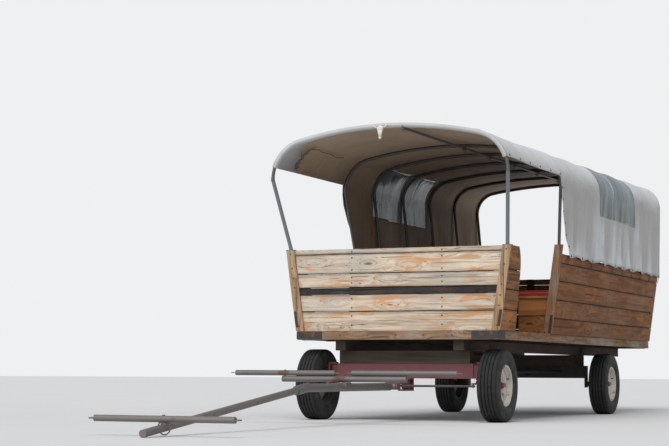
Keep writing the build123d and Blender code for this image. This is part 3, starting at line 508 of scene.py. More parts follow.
@dataclass(frozen=True)
class SteelFinish:
    """Painted or bare steel with rust, scuffs and road dust, and painted shade on its parts near the wagon's
    middle where asked.
    """

    name: str
    paint: Colour
    rust: Colour = (0.13, 0.045, 0.018)
    rusted: float = 0.3
    patch_scale: float = 6.0
    dusty: float = 0.3
    dust_top: float = 0.7
    metallic: float = 0.0
    rough: float = 0.5
    # Half-width from the wagon's middle inside which the colour is darkened almost to black as painted shade,
    # as in the rims' inner barrels; 0 leaves it out.
    shade_within: float = 0.0

    def build(self, effects: Effects) -> bpy.types.Material:
        """Make the material.

        Args:
            effects: The shared node groups.

        Returns:
            The material.
        """
        material, graph, shader = new_material(self.name)
        place = graph.place()
        feeds = {"Position": place, "Scale": self.patch_scale, "Amount": self.rusted}
        rust = graph.group(effects.rust, feeds).outputs
        drift = graph.between(graph.cloud(place, 3.1, 4.0), 0.78, 1.18)
        colour = graph.shaded(self.paint, drift)
        deep, bright = (tuple(share * part for part in self.rust) for share in (0.45, 1.7))
        rusty = graph.mix(rust["Tone"], deep, bright)
        colour = graph.mix(rust["Patch"], colour, rusty)
        feeds = {"Position": place, "Top": self.dust_top, "Amount": self.dusty}
        dust = graph.group(effects.dust, feeds).outputs[0]
        colour = graph.mix(dust, colour, (0.27, 0.235, 0.195))
        # Painted shade: parts nearer the wagon's middle plane than the half-width are darkened almost to
        # black.
        if self.shade_within:
            aside, _, _ = graph.parts(place)
            inboard_shade = graph.band(graph.math("ABSOLUTE", aside), self.shade_within + 0.006, self.shade_within - 0.004)
            colour = graph.mix(graph.times(inboard_shade, 0.95), colour, (0.018, 0.015, 0.013))
        graph.feed(shader.inputs["Base Color"], colour)
        dull = graph.math("MAXIMUM", rust["Patch"], dust)
        scuffs = graph.between(graph.cloud(place, 28.0, 5.0, 0.7), self.rough - 0.1, self.rough + 0.12)
        graph.feed(shader.inputs["Roughness"], graph.between(dull, scuffs, 0.9))
        if self.metallic:
            graph.feed(shader.inputs["Metallic"], graph.between(dull, self.metallic, 0.05))
        graph.feed(shader.inputs["Normal"], graph.bump(rust["Relief"], 0.0009, 0.8))
        return material


@dataclass(frozen=True)
class CanvasFinish:
    """Coated canvas with weave, hem stitching, seams across it, weather marks and painted shade in its fold
    hollows.
    """

    name: str
    cloth: Colour
    # Colour of the soiling, also used for the painted shade in the fold hollows.
    soil: Colour
    seams: tuple[float, ...] = ()
    soiled: float = 0.5

    def build(self, effects: Effects) -> bpy.types.Material:
        """Make the material.

        Args:
            effects: The shared node groups.

        Returns:
            The material.
        """
        material, graph, shader = new_material(self.name)
        place = graph.place()
        cloth = graph.node("UVMap", uv_map="cloth").outputs[0]
        _, along, _ = graph.parts(cloth)
        weather = graph.group(effects.weather, {"Cloth": cloth, "Position": place}).outputs
        hem = graph.node("Attribute", attribute_name="hem").outputs["Fac"]
        stand = graph.node("Attribute", attribute_name="slack").outputs["Fac"]
        colour = graph.mix(graph.times(weather["Soil"], 0.55 * self.soiled), self.cloth, self.soil)
        _, _, height = graph.parts(place)
        # Painted shade: in the fold hollows of the lower cover, where the cloth stands out least, the colour
        # is pulled towards the soil colour.
        fold_shade = graph.times(graph.band(stand, 0.022, 0.0), graph.band(height, 2.75, 2.5))
        colour = graph.mix(graph.times(fold_shade, 0.6), colour, self.soil)
        colour = graph.mix(graph.times(weather["Runs"], 0.45 * self.soiled), colour, self.soil)
        specks = graph.times(weather["Specks"], 0.3 * self.soiled)
        colour = graph.mix(specks, colour, tuple(0.35 * part for part in self.soil))
        double = graph.band(hem, 0.047, 0.043)
        grubby = graph.times(graph.band(hem, 0.022, 0.0), 0.35)
        stitch = graph.math("MAXIMUM", self.line(graph, hem, 0.04), self.line(graph, hem, 0.012))
        raised: Value = double
        for seam in self.seams:
            off = graph.apart(along, seam)
            raised = graph.math("MAXIMUM", raised, graph.band(off, 0.022, 0.018))
            stitch = graph.math("MAXIMUM", stitch, self.line(graph, off, 0.014))
        pricks = graph.math("GREATER_THAN", graph.math("SINE", graph.times(along, 900.0)), -0.45)
        stitch = graph.times(stitch, pricks)
        marked = graph.math("MAXIMUM", grubby, graph.times(stitch, 0.55))
        colour = graph.mix(marked, colour, self.soil)
        graph.feed(shader.inputs["Base Color"], colour)
        graph.feed(shader.inputs["Roughness"], graph.between(weather["Soil"], 0.62, 0.8))
        shader.inputs["Sheen Weight"].default_value = 0.08
        shader.inputs["Specular IOR Level"].default_value = 0.25
        threads = graph.group(effects.weave, {"Cloth": cloth, "Threads": 620.0}).outputs[0]
        normal = graph.bump(threads, 0.0002, 0.35)
        creases = graph.cloud(graph.stretch(cloth, (9.0, 14.0, 1.0)), 1.0, 5.0, 0.6, 1.2)
        normal = graph.bump(creases, 0.006, 0.6, normal)
        feeds = {"Vector": cloth, "Angle": 0.5}
        slanted = graph.node("VectorRotate", feeds, rotation_type="Z_AXIS").outputs[0]
        pulls = graph.cloud(graph.stretch(slanted, (1.4, 5.2, 1.0)), 1.0, 3.0, 0.5, 1.6)
        normal = graph.bump(graph.apart(pulls, 0.5), 0.05, 0.5, normal)
        layers = graph.math("SUBTRACT", raised, graph.times(stitch, 0.6))
        graph.feed(shader.inputs["Normal"], graph.bump(layers, 0.0012, 0.9, normal))
        return material

    @staticmethod
    def line(graph: Graph, distance: Socket, at: float) -> Socket:
        """Narrow line of stitching at a distance."""
        return graph.band(graph.apart(distance, at), 0.003, 0.0015)


@dataclass(frozen=True)
class WindowFinish:
    """Clear flexible vinyl, a little hazy and dusty, with a painted sky reflection and glare, and painted
    shade in its creases.
    """

    name: str
    tint: Colour = (0.045, 0.08, 0.072)

    def build(self, effects: Effects) -> bpy.types.Material:
        """Make the material.

        Args:
            effects: The shared node groups.

        Returns:
            The material.
        """
        material, graph, shader = new_material(self.name)
        place = graph.place()
        cloth = graph.node("UVMap", uv_map="cloth").outputs[0]
        weather = graph.group(effects.weather, {"Cloth": cloth, "Position": place}).outputs
        haze = graph.times(weather["Soil"], 0.4)
        _, _, height = graph.parts(place)
        long = graph.stretch(cloth, (1.3, 8.0, 1.0))
        # Painted reflection: pale streaks of glare, strongest in the upper part of the pane.
        glare = graph.band(graph.cloud(long, 1.0, 3.0, 0.5, 0.6), 0.58, 0.68)
        upper = graph.band(height, 2.3, 2.7)
        glare = graph.times(glare, graph.between(upper, 0.12, 1.0))
        colour = graph.mix(haze, self.tint, (0.16, 0.2, 0.19))
        # Painted reflection: the upper part takes a pale blue sky tint, and the glare streaks take a pale
        # highlight.
        colour = graph.mix(graph.times(upper, 0.45), colour, (0.15, 0.22, 0.27))
        colour = graph.mix(graph.times(glare, 0.7), colour, (0.48, 0.57, 0.64))
        # Painted shade: dark streaks along the creases of the sheet.
        crease = graph.cloud(graph.stretch(cloth, (0.7, 11.0, 1.0)), 1.0, 2.0, 0.4, 0.5)
        colour = graph.mix(graph.band(crease, 0.38, 0.32), colour, (0.012, 0.02, 0.028))
        graph.feed(shader.inputs["Base Color"], colour)
        graph.feed(shader.inputs["Roughness"], graph.between(weather["Soil"], 0.08, 0.24))
        marks = graph.math("MAXIMUM", glare, weather["Runs"])
        graph.feed(shader.inputs["Alpha"], graph.between(marks, 0.88, 0.96))
        shader.inputs["IOR"].default_value = 1.5
        shader.inputs["Specular IOR Level"].default_value = 0.35
        shader.inputs["Coat Weight"].default_value = 0.25
        shader.inputs["Coat Roughness"].default_value = 0.06
        ripple = graph.cloud(graph.stretch(cloth, (2.6, 5.5, 1.0)), 1.0, 3.0, 0.5, 0.8)
        graph.feed(shader.inputs["Normal"], graph.bump(ripple, 0.02, 0.6))
        return material


@dataclass(frozen=True)
class VinylFinish:
    """Padded seat vinyl with a leather-like press and worn shine."""

    name: str
    colour: Colour
    worn: Colour

    def build(self, effects: Effects) -> bpy.types.Material:
        """Make the material.

        Args:
            effects: The shared node groups.

        Returns:
            The material.
        """
        material, graph, shader = new_material(self.name)
        place = graph.place()
        cells = graph.node("TexVoronoi", {"Vector": place, "Scale": 420.0}, feature="DISTANCE_TO_EDGE")
        wear = graph.band(graph.cloud(place, 7.0, 5.0, 0.65), 0.5, 0.72)
        dust = graph.group(effects.dust, {"Position": place, "Top": 1.9, "Amount": 0.25}).outputs[0]
        colour = graph.mix(graph.times(wear, 0.5), self.colour, self.worn)
        graph.feed(shader.inputs["Base Color"], graph.mix(dust, colour, (0.3, 0.24, 0.2)))
        graph.feed(shader.inputs["Roughness"], graph.between(wear, 0.48, 0.33))
        press = graph.band(cells.outputs["Distance"], 0.0, 0.25)
        graph.feed(shader.inputs["Normal"], graph.bump(press, 0.0004, 0.6))
        return material


@dataclass(frozen=True)
class RubberFinish:
    """Tyre rubber: sipes across the ribs, a paler dusty sidewall, scuffs, and painted shade in the sipes and
    grooves.
    """

    name: str
    rubber: Colour = (0.011, 0.011, 0.012)
    dust: Colour = (0.075, 0.07, 0.064)

    def build(self, effects: Effects) -> bpy.types.Material:
        """Make the material.

        Args:
            effects: The shared node groups; not used here.

        Returns:
            The material.
        """
        material, graph, shader = new_material(self.name)
        wrap = graph.node("UVMap", uv_map="wrap").outputs[0]
        around, out, _ = graph.parts(wrap)
        place = graph.place()
        tread = graph.band(out, 0.5, 0.49)
        slant = graph.math("ADD", around, graph.times(out, 0.9))
        sipes = graph.band(graph.math("SINE", graph.times(slant, FULL_TURN * 110)), 0.86, 0.97)
        sipes = graph.times(sipes, tread)
        scuffs = graph.cloud(place, 14.0, 7.0, 0.7)
        ledge = graph.cloud(graph.stretch(wrap, (6.0, 60.0, 1.0)), 1.0, 4.0)
        side = graph.band(out, 0.5, 0.62)
        dusty = graph.times(graph.band(scuffs, 0.3, 0.75), graph.between(side, 0.08, 0.7))
        dusty = graph.math("ADD", dusty, graph.times(graph.times(side, ledge), 0.25))
        colour = graph.mix(graph.math("MINIMUM", dusty, 1.0), self.rubber, self.dust)
        ribs = graph.times(tread, graph.band(scuffs, 0.2, 0.6))
        colour = graph.mix(graph.times(ribs, 0.5), colour, (0.05, 0.049, 0.048))
        # Painted shade: the sipes are darkened almost to black.
        colour = graph.mix(graph.times(sipes, 0.8), colour, (0.006, 0.006, 0.006))
        # Painted shade: the grooves, which are real dents in the mesh, are darkened almost to black too.
        for groove in (0.099, 0.304):
            off = graph.apart(out, groove)
            colour = graph.mix(graph.band(off, 0.034, 0.026), colour, (0.003, 0.003, 0.003))
        graph.feed(shader.inputs["Base Color"], colour)
        graph.feed(shader.inputs["Roughness"], graph.between(scuffs, 0.62, 0.9))
        shader.inputs["Specular IOR Level"].default_value = 0.25
        relief = graph.math("SUBTRACT", graph.times(scuffs, 0.15), sipes)
        graph.feed(shader.inputs["Normal"], graph.bump(relief, 0.003, 0.8))
        return material


Finish = PlankFinish | SteelFinish | CanvasFinish | WindowFinish | VinylFinish | RubberFinish


# Mesh helpers


def edges_at(verts: Iterable[bmesh.types.BMVert]) -> list[bmesh.types.BMEdge]:
    """Edges that meet at some vertices."""
    return list({edge for vertex in verts for edge in vertex.link_edges})


def placed(name: str, data: bpy.types.ID) -> bpy.types.Object:
    """Put a new object into the scene.

    Args:
        name: The object's name.
        data: Its mesh, lamp or camera.

    Returns:
        The new object.
    """
    made = bpy.data.objects.new(name, data)
    bpy.context.scene.collection.objects.link(made)
    return made


def mesh_of(bm: bmesh.types.BMesh, name: str) -> bpy.types.Mesh:
    """Turn a bmesh into a mesh.

    Args:
        bm: Finished mesh; it is freed.
        name: The new mesh's name.

    Returns:
        The new mesh.
    """
    mesh = bpy.data.meshes.new(name)
    bm.to_mesh(mesh)
    bm.free()
    return mesh


def finish_piece(
    bm: bmesh.types.BMesh,
    name: str,
    materials: Sequence[bpy.types.Material],
    body: str,
    replaced: Iterable[str] = (),
    smooth: bool = True,
) -> bpy.types.Object:
    """Turn a bmesh into a piece that rides on a body.

    Args:
        bm: Finished mesh; it is freed.
        name: The piece's name.
        materials: Its materials in slot order.
        body: Body that carries it.
        replaced: Nodes that it stands for.
        smooth: Whether its faces shade smoothly.

    Returns:
        The new object.
    """
    for face in bm.faces:
        face.smooth = smooth
    mesh = mesh_of(bm, name)
    for material in materials:
        mesh.materials.append(material)
    piece = placed(name, mesh)
    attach(piece, body)
    for node in replaced:
        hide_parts(node)
    LOG.info("%s: %d faces on %s", name, len(mesh.polygons), body)
    return piece


def turned_to(direction: Vector, at: Vector) -> Matrix:
    """Placement that turns +Z to a direction and moves the origin to a point."""
    return Matrix.Translation(at) @ direction.to_track_quat("Z", "Y").to_matrix().to_4x4()


def add_block(
    bm: bmesh.types.BMesh, low: Sequence[float], high: Sequence[float], edge: float = 0.001
) -> list[bmesh.types.BMVert]:
    """Add a box with rounded edges.

    Args:
        bm: Mesh that takes it.
        low: Lowest corner.
        high: Highest corner.
        edge: Width of the rounded edge.

    Returns:
        Its vertices.
    """
    size = [b - a for a, b in zip(low, high)]
    centre = [(a + b) / 2 for a, b in zip(low, high)]
    matrix = Matrix.Translation(centre) @ Matrix.Diagonal((*size, 1.0))
    made = bmesh.ops.create_cube(bm, size=1.0, matrix=matrix)
    edges = edges_at(made["verts"])
    before = set(bm.verts) - set(made["verts"])
    bmesh.ops.bevel(bm, geom=edges, offset=edge, affect="EDGES", segments=2, profile=0.5, material=-1)
    return [vertex for vertex in bm.verts if vertex not in before]


def add_drum(
    bm: bmesh.types.BMesh, at: Vector, direction: Vector, radius: float, depth: float, sides: int = 20
) -> None:
    """Add a short closed drum with chamfered rims.

    Args:
        bm: Mesh that takes it.
        at: Middle of the drum.
        direction: Its axis.
        radius: Its radius.
        depth: Its length along the axis.
        sides: Facets round it.
    """
    matrix = turned_to(direction, at)
    made = bmesh.ops.create_cone(
        bm, cap_ends=True, segments=sides, radius1=radius, radius2=radius, depth=depth, matrix=matrix
    )
    edges = edges_at(made["verts"])
    rims = [edge for edge in edges if any(len(face.verts) == sides for face in edge.link_faces)]
    offset = min(radius, depth) * 0.12
    bmesh.ops.bevel(bm, geom=rims, offset=offset, affect="EDGES", segments=2, profile=0.5, material=-1)


def add_dome(bm: bmesh.types.BMesh, at: Vector, direction: Vector, radius: float, rise: float) -> None:
    """Add a low round bolt head.

    Args:
        bm: Mesh that takes it.
        at: Middle of its seat.
        direction: Way that it faces.
        radius: Its radius.
        rise: Its height.
    """
    matrix = turned_to(direction, at) @ Matrix.Diagonal((radius, radius, rise, 1.0))
    made = bmesh.ops.create_uvsphere(bm, u_segments=12, v_segments=6, radius=1.0, matrix=matrix)
    below = [v for v in made["verts"] if (v.co - at).dot(direction) < -rise * 0.3]
    bmesh.ops.delete(bm, geom=below, context="VERTS")
    rim = [edge for edge in bm.edges if edge.is_boundary]
    bmesh.ops.holes_fill(bm, edges=rim)


def add_ring(
    bm: bmesh.types.BMesh, at: Vector, direction: Vector, radius: float, wire: float, steps: int = 14
) -> None:
    """Add a ring of round wire.

    Args:
        bm: Mesh that takes it.
        at: Its centre.
        direction: Its axis.
        radius: Radius of the ring to the middle of its wire.
        wire: Radius of the wire.
        steps: Facets round it.
    """
    frame = turned_to(direction, at)
    seat = frame @ Matrix.Translation((radius, 0, 0)) @ Matrix.Rotation(math.pi / 2, 4, "X")
    made = bmesh.ops.create_circle(bm, segments=7, radius=wire, matrix=seat)
    edges = edges_at(made["verts"])
    bmesh.ops.spin(
        bm, geom=made["verts"] + edges, cent=at, axis=direction, angle=FULL_TURN, steps=steps, use_merge=True
    )


def tube(
    bm: bmesh.types.BMesh, spots: Sequence[Vector], radius: float, closed: bool = False, sides: int = 6
) -> None:
    """Add a round cord through some points.

    Args:
        bm: Mesh that takes it.
        spots: Points of its middle line.
        radius: Its radius.
        closed: Whether its end joins its start.
        sides: Facets round it.
    """
    rings = []
    count = len(spots)
    for n, spot in enumerate(spots):
        before = spots[n - 1] if n or closed else spot
        after = spots[(n + 1) % count] if n < count - 1 or closed else spot
        matrix = turned_to((after - before).normalized(), spot)
        made = bmesh.ops.create_circle(bm, segments=sides, radius=radius, matrix=matrix)
        rings.append(edges_at(made["verts"]))
    pairs = list(zip(rings, rings[1:])) + ([(rings[-1], rings[0])] if closed else [])
    for one, other in pairs:
        bmesh.ops.bridge_loops(bm, edges=one + other)
    if not closed:
        bmesh.ops.holes_fill(bm, edges=rings[0] + rings[-1])


# Cover


@dataclass
class Cover:
    """Canvas cover over the bows, with its doorways, clear windows, hems and turned-in front edge.

    A section is given by its half-width, crown height, crown radius and corner radius. The hem is given by
    its half-width and height, the curtain's bend by its station and height, and a window by its two end
    stations.
    """

    axle_y: float
    front: float = -0.545
    rear: float = 5.85
    front_section: tuple[float, float, float, float] = (1.277, 2.956, 4.13, 0.42)
    rear_section: tuple[float, float, float, float] = (1.25, 3.0, 6.0, 0.3)
    hem: tuple[float, float] = (1.222, 1.72)
    awning: float = 2.565
    curtain_top: float = 1.26
    curtain_bend: tuple[float, float] = (1.29, 2.34)
    curtain_hem: float = 1.67
    window_in: float = 1.06
    window_bottom: float = 2.27
    windows: dict[Side, tuple[float, float]] = field(
        default_factory=lambda: {Side.LEFT: (2.85, 4.5), Side.RIGHT: (2.1, 3.84)}
    )
    arch: float = -0.52
    bows: tuple[float, ...] = (1.3, 2.15, 3.05, 3.95, 4.85, 5.75)
    rows: int = 210
    leg_columns: int = 22
    corner_columns: int = 16
    crown_columns: int = 24
    seat_inset: float = 0.0045
    thickness: float = 0.0022
    pane_thickness: float = 0.0008
    sleeve: float = 0.041
    flank: float = 0.9
    flap_top: float = 2.86
    flap_height: float = 0.2
    flap_reach: float = 0.44
    lift: float = 0.024
    lashings: int = 10

    def section(self, back: float, span: str, share: float, inset: float) -> tuple[float, float]:
        """Half-width and height of the left half's section.

        Args:
            back: Station.
            span: The leg, corner or crown part of the section.
            share: Share of the span, from the hem towards the crown.
            inset: Depth below the outer face.

        Returns:
            X and Z of the point.
        """
        way = (back - self.front) / (self.rear - self.front)
        points = []
        for half, crown, crown_r, corner_r in (self.front_section, self.rear_section):
            corner_x = half - corner_r
            reach = crown_r - corner_r
            corner_z = crown - crown_r + math.sqrt(reach**2 - corner_x**2)
            meet = math.asin(corner_x / reach)
            if span == "leg":
                (low_x, low_z), top = self.hem, (half, corner_z)
                points.append((low_x + (top[0] - low_x) * share - inset, low_z + (top[1] - low_z) * share))
            elif span == "corner":
                angle = math.pi / 2 + (meet - math.pi / 2) * share
                reach = corner_r - inset
                points.append((corner_x + reach * math.sin(angle), corner_z + reach * math.cos(angle)))
            else:
                angle = meet * (1 - share)
                reach = crown_r - inset
                points.append((reach * math.sin(angle), crown - crown_r + reach * math.cos(angle)))
        (ax, az), (bx, bz) = points
        return ax + (bx - ax) * way, az + (bz - az) * way

    def columns(self) -> list[tuple[Side, str, float]]:
        """Places round the girth, from the left hem over the crown to the right hem.

        Returns:
            Side, span and share of each column of the cloth.
        """
        half = [("leg", n / self.leg_columns) for n in range(self.leg_columns)]
        half += [("corner", n / self.corner_columns) for n in range(self.corner_columns)]
        half += [("crown", n / self.crown_columns) for n in range(self.crown_columns)]
        left = [(Side.LEFT, span, share) for span, share in half]
        right = [(Side.RIGHT, span, share) for span, share in reversed(half)]
        return [*left, (Side.LEFT, "crown", 1.0), *right]

    def point(self, column: tuple[Side, str, float], back: float, inset: float) -> Vector:
        """Point of the cover at a column and station.

        Args:
            column: Side, span and share round the girth.
            back: Station.
            inset: Depth below the outer face.

        Returns:
            The point.
        """
        side, span, share = column
        x, z = self.section(back, span, share, inset)
        return Vector((side.value * x, self.axle_y + back, z))

    def front_edge(self, height: float) -> float:
        """Station of the curtain's front edge at a height.

        Args:
            height: Height above the ground.

        Returns:
            The station.
        """
        bend, knee = self.curtain_bend
        if height > knee:
            return bend + (self.curtain_top - bend) * (height - knee) / (self.awning - knee)
        return self.curtain_hem + (bend - self.curtain_hem) * (height - self.hem[1]) / (knee - self.hem[1])

    def slack(self, spot: Vector, column: tuple[Side, str, float], back: float) -> float:
        """How far the cloth stands out from its plain shape, in metres.

        Args:
            spot: Point on the plain shape.
            column: Its place round the girth.
            back: Its station.

        Returns:
            Outward distance; it is negative where the cloth sags in.
        """
        side, span, share = column
        stops = (self.front, self.arch, *self.bows, self.rear)
        before = max(s for s in stops if s <= back + 1e-6)
        after = min((s for s in stops if s > back + 1e-6), default=self.rear + 0.3)
        bay = (back - before) / (after - before)
        droop = math.sin(math.pi * bay) ** 2 * min(1.0, (after - before) / 0.9)
        wave = noise.noise(Vector((back * 1.9, spot.z * 0.8, side.value * 3.1)))
        ripple = noise.noise(Vector((back * 5.2, spot.z * 1.5 + spot.x, side.value * 7.7)))
        if span == "crown":
            return -0.017 * droop - 0.002 * abs(ripple)
        if span == "corner":
            return -0.012 * droop + 0.004 * ripple * (1 - share)
        low = 1 - share
        folds = noise.noise(Vector((back * 3.3 + spot.z * 0.5, spot.z * 0.35, side.value * 5.0)))
        narrow = noise.noise(Vector((back * 8.3 - spot.z * 0.9, spot.z * 0.7, side.value * 11.0)))
        out = 0.012 * low + 0.05 * low * folds + 0.02 * (0.35 + low) * narrow + 0.01 * wave
        out += 0.016 * self.scallop(back) * max(0.0, 1 - share * 5)
        return max(out - 0.008 * droop * share, -0.003)

    def lashing_stations(self) -> list[float]:
        """Stations at which the hem is lashed down."""
        start, end = self.curtain_hem + 0.035, self.rear - 0.035
        return [start + n * (end - start) / (self.lashings - 1) for n in range(self.lashings)]

    def scallop(self, back: float) -> float:
        """Share from 0 at a lashing to 1 midway between two."""
        start, second, *_ = self.lashing_stations()
        return math.sin(math.pi * (back - start) / (second - start)) ** 2 if back > start else 0.0

    def hem_distance(self, spot: Vector, back: float) -> float:
        """Distance from a point of the cloth to its nearest edge, up to 0.2.

        Args:
            spot: Point of the cloth.
            back: Its station.

        Returns:
            The distance in metres.
        """
        side = Side.LEFT if spot.x > 0 else Side.RIGHT
        found = [back - self.front, self.rear - back, 0.2]
        if abs(spot.x) > 0.8:
            ahead = (back - self.front_edge(spot.z)) * 0.87 if spot.z < self.awning else 0.2
            above = spot.z - self.awning if back < self.curtain_top + 0.05 else 0.2
            found.append(above if above > 0 else ahead)
            found.append(spot.z - self.hem[1] if spot.z < self.awning else 0.2)
        low, high = self.windows[side]
        aside = max(low - back, back - high, 0.0)
        under = max(self.window_bottom - spot.z, (self.window_in - abs(spot.x)) * 1.05, 0.0)
        found.append(math.hypot(aside, under))
        return max(min(found), 0.0)

    @staticmethod
    def cut(bm: bmesh.types.BMesh, chosen: Callable[[Vector], bool], at: Vector, normal: Vector) -> None:
        """Cut some of the faces along a plane.

        Args:
            bm: Mesh to cut.
            chosen: Tells from a face's middle whether it is cut.
            at: Point of the plane.
            normal: The plane's normal.
        """
        faces = [face for face in bm.faces if chosen(face.calc_center_median())]
        edges = {edge for face in faces for edge in face.edges}
        verts = {vertex for face in faces for vertex in face.verts}
        bmesh.ops.bisect_plane(bm, geom=[*verts, *edges, *faces], dist=1e-5, plane_co=at, plane_no=normal)

    def cloth_mesh(self) -> bmesh.types.BMesh:
        """Whole cloth with its cuts made and its plain shape, before it is parted into canvas and windows.

        Returns:
            Mesh with the layers out, across and slack.
        """
        columns = self.columns()
        bm = bmesh.new()
        bmesh.ops.create_grid(bm, x_segments=len(columns) - 1, y_segments=self.rows, size=0.5)
        girth = [0.0]
        middle = (self.front + self.rear) / 2
        for one, other in zip(columns, columns[1:]):
            girth.append(girth[-1] + (self.point(other, middle, 0) - self.point(one, middle, 0)).length)
        out = bm.verts.layers.float_vector.new("out")
        across = bm.verts.layers.float.new("across")
        slack = bm.verts.layers.float.new("slack")
        for vertex in bm.verts:
            column = round((vertex.co.x + 0.5) * (len(columns) - 1))
            back = self.front + (vertex.co.y + 0.5) * (self.rear - self.front)
            outer = self.point(columns[column], back, 0)
            spot = self.point(columns[column], back, self.seat_inset)
            vertex[out] = (outer - spot).normalized()
            vertex[across] = girth[column]
            vertex[slack] = self.slack(spot, columns[column], back)
            vertex.co = spot
        crown = max(bm.faces, key=lambda face: face.calc_center_median().z)
        crown.normal_update()
        if crown.normal.z < 0:
            bmesh.ops.reverse_faces(bm, faces=bm.faces)
        self.cut_openings(bm)
        return bm

    def cut_openings(self, bm: bmesh.types.BMesh) -> None:
        """Cut the lines of the doorways and windows, and take out the doorways.

        Args:
            bm: Mesh of the cloth.
        """
        level = Vector((0, 0, 1))
        bend, knee = self.curtain_bend
        behind = self.axle_y + (self.curtain_hem + 0.23)
        for height in (self.awning, knee):
            self.cut(bm, lambda c: abs(c.x) > self.flank and c.y < behind, Vector((0, 0, height)), level)
        corners = ((self.curtain_top, self.awning), (bend, knee), (self.curtain_hem, self.hem[1]))
        for (back, high), (foot, low) in zip(corners, corners[1:]):
            slant = Vector((0, high - low, foot - back)).normalized()
            at = Vector((0, self.axle_y + back, high))

            def beside(centre: Vector, low: float = low, high: float = high) -> bool:
                """Whether a face is at this stretch of the curtain's edge."""
                return abs(centre.x) > self.flank and low - 0.01 < centre.z < high

            self.cut(bm, beside, at, slant)
        gone = []
        for face in bm.faces:
            middle = face.calc_center_median()
            if abs(middle.x) > self.flank and middle.z < self.awning:
                if middle.y - self.axle_y < self.front_edge(middle.z):
                    gone.append(face)
        bmesh.ops.delete(bm, geom=gone, context="FACES")
        for side, (low, high) in self.windows.items():

            def near(centre: Vector, side: Side = side) -> bool:
                """Whether a face is on the window's side."""
                return centre.x * side.value > self.flank

            for back in (low, high):
                self.cut(bm, near, Vector((0, self.axle_y + back, 0)), Vector((0, 1, 0)))
            self.cut(bm, near, Vector((0, 0, self.window_bottom)), Vector((0, 0, 1)))
            self.cut(bm, near, Vector((side.value * self.window_in, 0, 0)), Vector((1, 0, 0)))

    def in_window(self, centre: Vector) -> Side | None:
        """The side whose window holds a face, if any.

        Args:
            centre: Middle of the face.

        Returns:
            The side, or None.
        """
        for side, (low, high) in self.windows.items():
            inside = low < centre.y - self.axle_y < high
            if inside and centre.z > self.window_bottom and centre.x * side.value > self.window_in:
                return side
        return None

    def shape(self, bm: bmesh.types.BMesh) -> None:
        """Give the cloth its folds, its coordinates and its hem distance.

        Args:
            bm: Mesh of the cloth.
        """
        out = bm.verts.layers.float_vector["out"]
        across = bm.verts.layers.float["across"]
        slack = bm.verts.layers.float["slack"]
        hem = bm.verts.layers.float.new("hem")
        cloth = bm.loops.layers.uv.new("cloth")
        for vertex in bm.verts:
            back = vertex.co.y - self.axle_y
            vertex[hem] = self.hem_distance(vertex.co, back)
            for loop in vertex.link_loops:
                loop[cloth].uv = (vertex[across], back)
            way = Vector(vertex[out])
            if way.length < 0.5:
                way = vertex.normal.copy()
            vertex.co += way.normalized() * vertex[slack]
            above = vertex.co.z - self.hem[1]
            if above < 0.12:
                vertex.co.z += self.lift * self.scallop(back) * (1 - above / 0.12)

    def turn_in(self, bm: bmesh.types.BMesh) -> None:
        """Turn the front edge round the front arch, with a wider flap at its two low corners.

        Args:
            bm: Mesh of the canvas.
        """
        out = bm.verts.layers.float_vector["out"]
        foremost = self.axle_y + self.front + 1e-4
        edge = [e for e in bm.edges if e.is_boundary and all(v.co.y < foremost for v in e.verts)]
        for depth, back, flapped in ((self.sleeve, 0.006, False), (0.004, 0.05, False), (-0.027, 0.03, True)):
            made = bmesh.ops.extrude_edge_only(bm, edges=edge)
            fresh = [item for item in made["geom"] if isinstance(item, bmesh.types.BMVert)]
            edge = [item for item in made["geom"] if isinstance(item, bmesh.types.BMEdge)]
            edge = [e for e in edge if e.is_boundary and all(v in fresh for v in e.verts)]
            for vertex in fresh:
                share = max(0.0, min(1.0, (self.flap_top - vertex.co.z) / self.flap_height))
                vertex.co -= Vector(vertex[out]).normalized() * depth
                vertex.co.y += back + (share * self.flap_reach if flapped else 0.0)

    def build(
        self, canvas: Sequence[bpy.types.Material], clear: bpy.types.Material
    ) -> bpy.types.Object:
        """Make the canvas and the two windows.

        Args:
            canvas: Outer and inner cloth.
            clear: Window material.

        Returns:
            The canvas.
        """
        bm = self.cloth_mesh()
        self.shape(bm)
        panes = bm.copy()
        inside = [f for f in bm.faces if self.in_window(f.calc_center_median())]
        bmesh.ops.delete(bm, geom=inside, context="FACES")
        outside = [f for f in panes.faces if not self.in_window(f.calc_center_median())]
        bmesh.ops.delete(panes, geom=outside, context="FACES")
        self.turn_in(bm)
        bm.normal_update()
        area = sum(face.calc_area() for face in bm.faces)
        canvas_piece = finish_piece(bm, "canvas_sheet", canvas, "wagon", ["canvas_cover"])
        self.thicken(canvas_piece, self.thickness, 1)
        for side in Side:
            pane = panes.copy()
            far = [f for f in pane.faces if f.calc_center_median().x * side.value < 0]
            bmesh.ops.delete(pane, geom=far, context="FACES")
            area = sum(face.calc_area() for face in pane.faces)
            name = f"window_{side.name.lower()}"
            replaced = ["cover_windows"] if side is Side.LEFT else []
            piece = finish_piece(pane, name, [clear], "wagon", replaced)
            self.thicken(piece, self.pane_thickness, 0)
        panes.free()
        return canvas_piece

    @staticmethod
    def thicken(piece: bpy.types.Object, thickness: float, inner: int) -> None:
        """Give a sheet its thickness, inwards, with an inner material.

        Args:
            piece: The sheet.
            thickness: Its thickness in metres.
            inner: How far the inner face's material is from the outer one's in the slots.
        """
        solid = piece.modifiers.new("thickness", "SOLIDIFY")
        solid.thickness = thickness
        solid.offset = -1.0
        solid.material_offset = inner


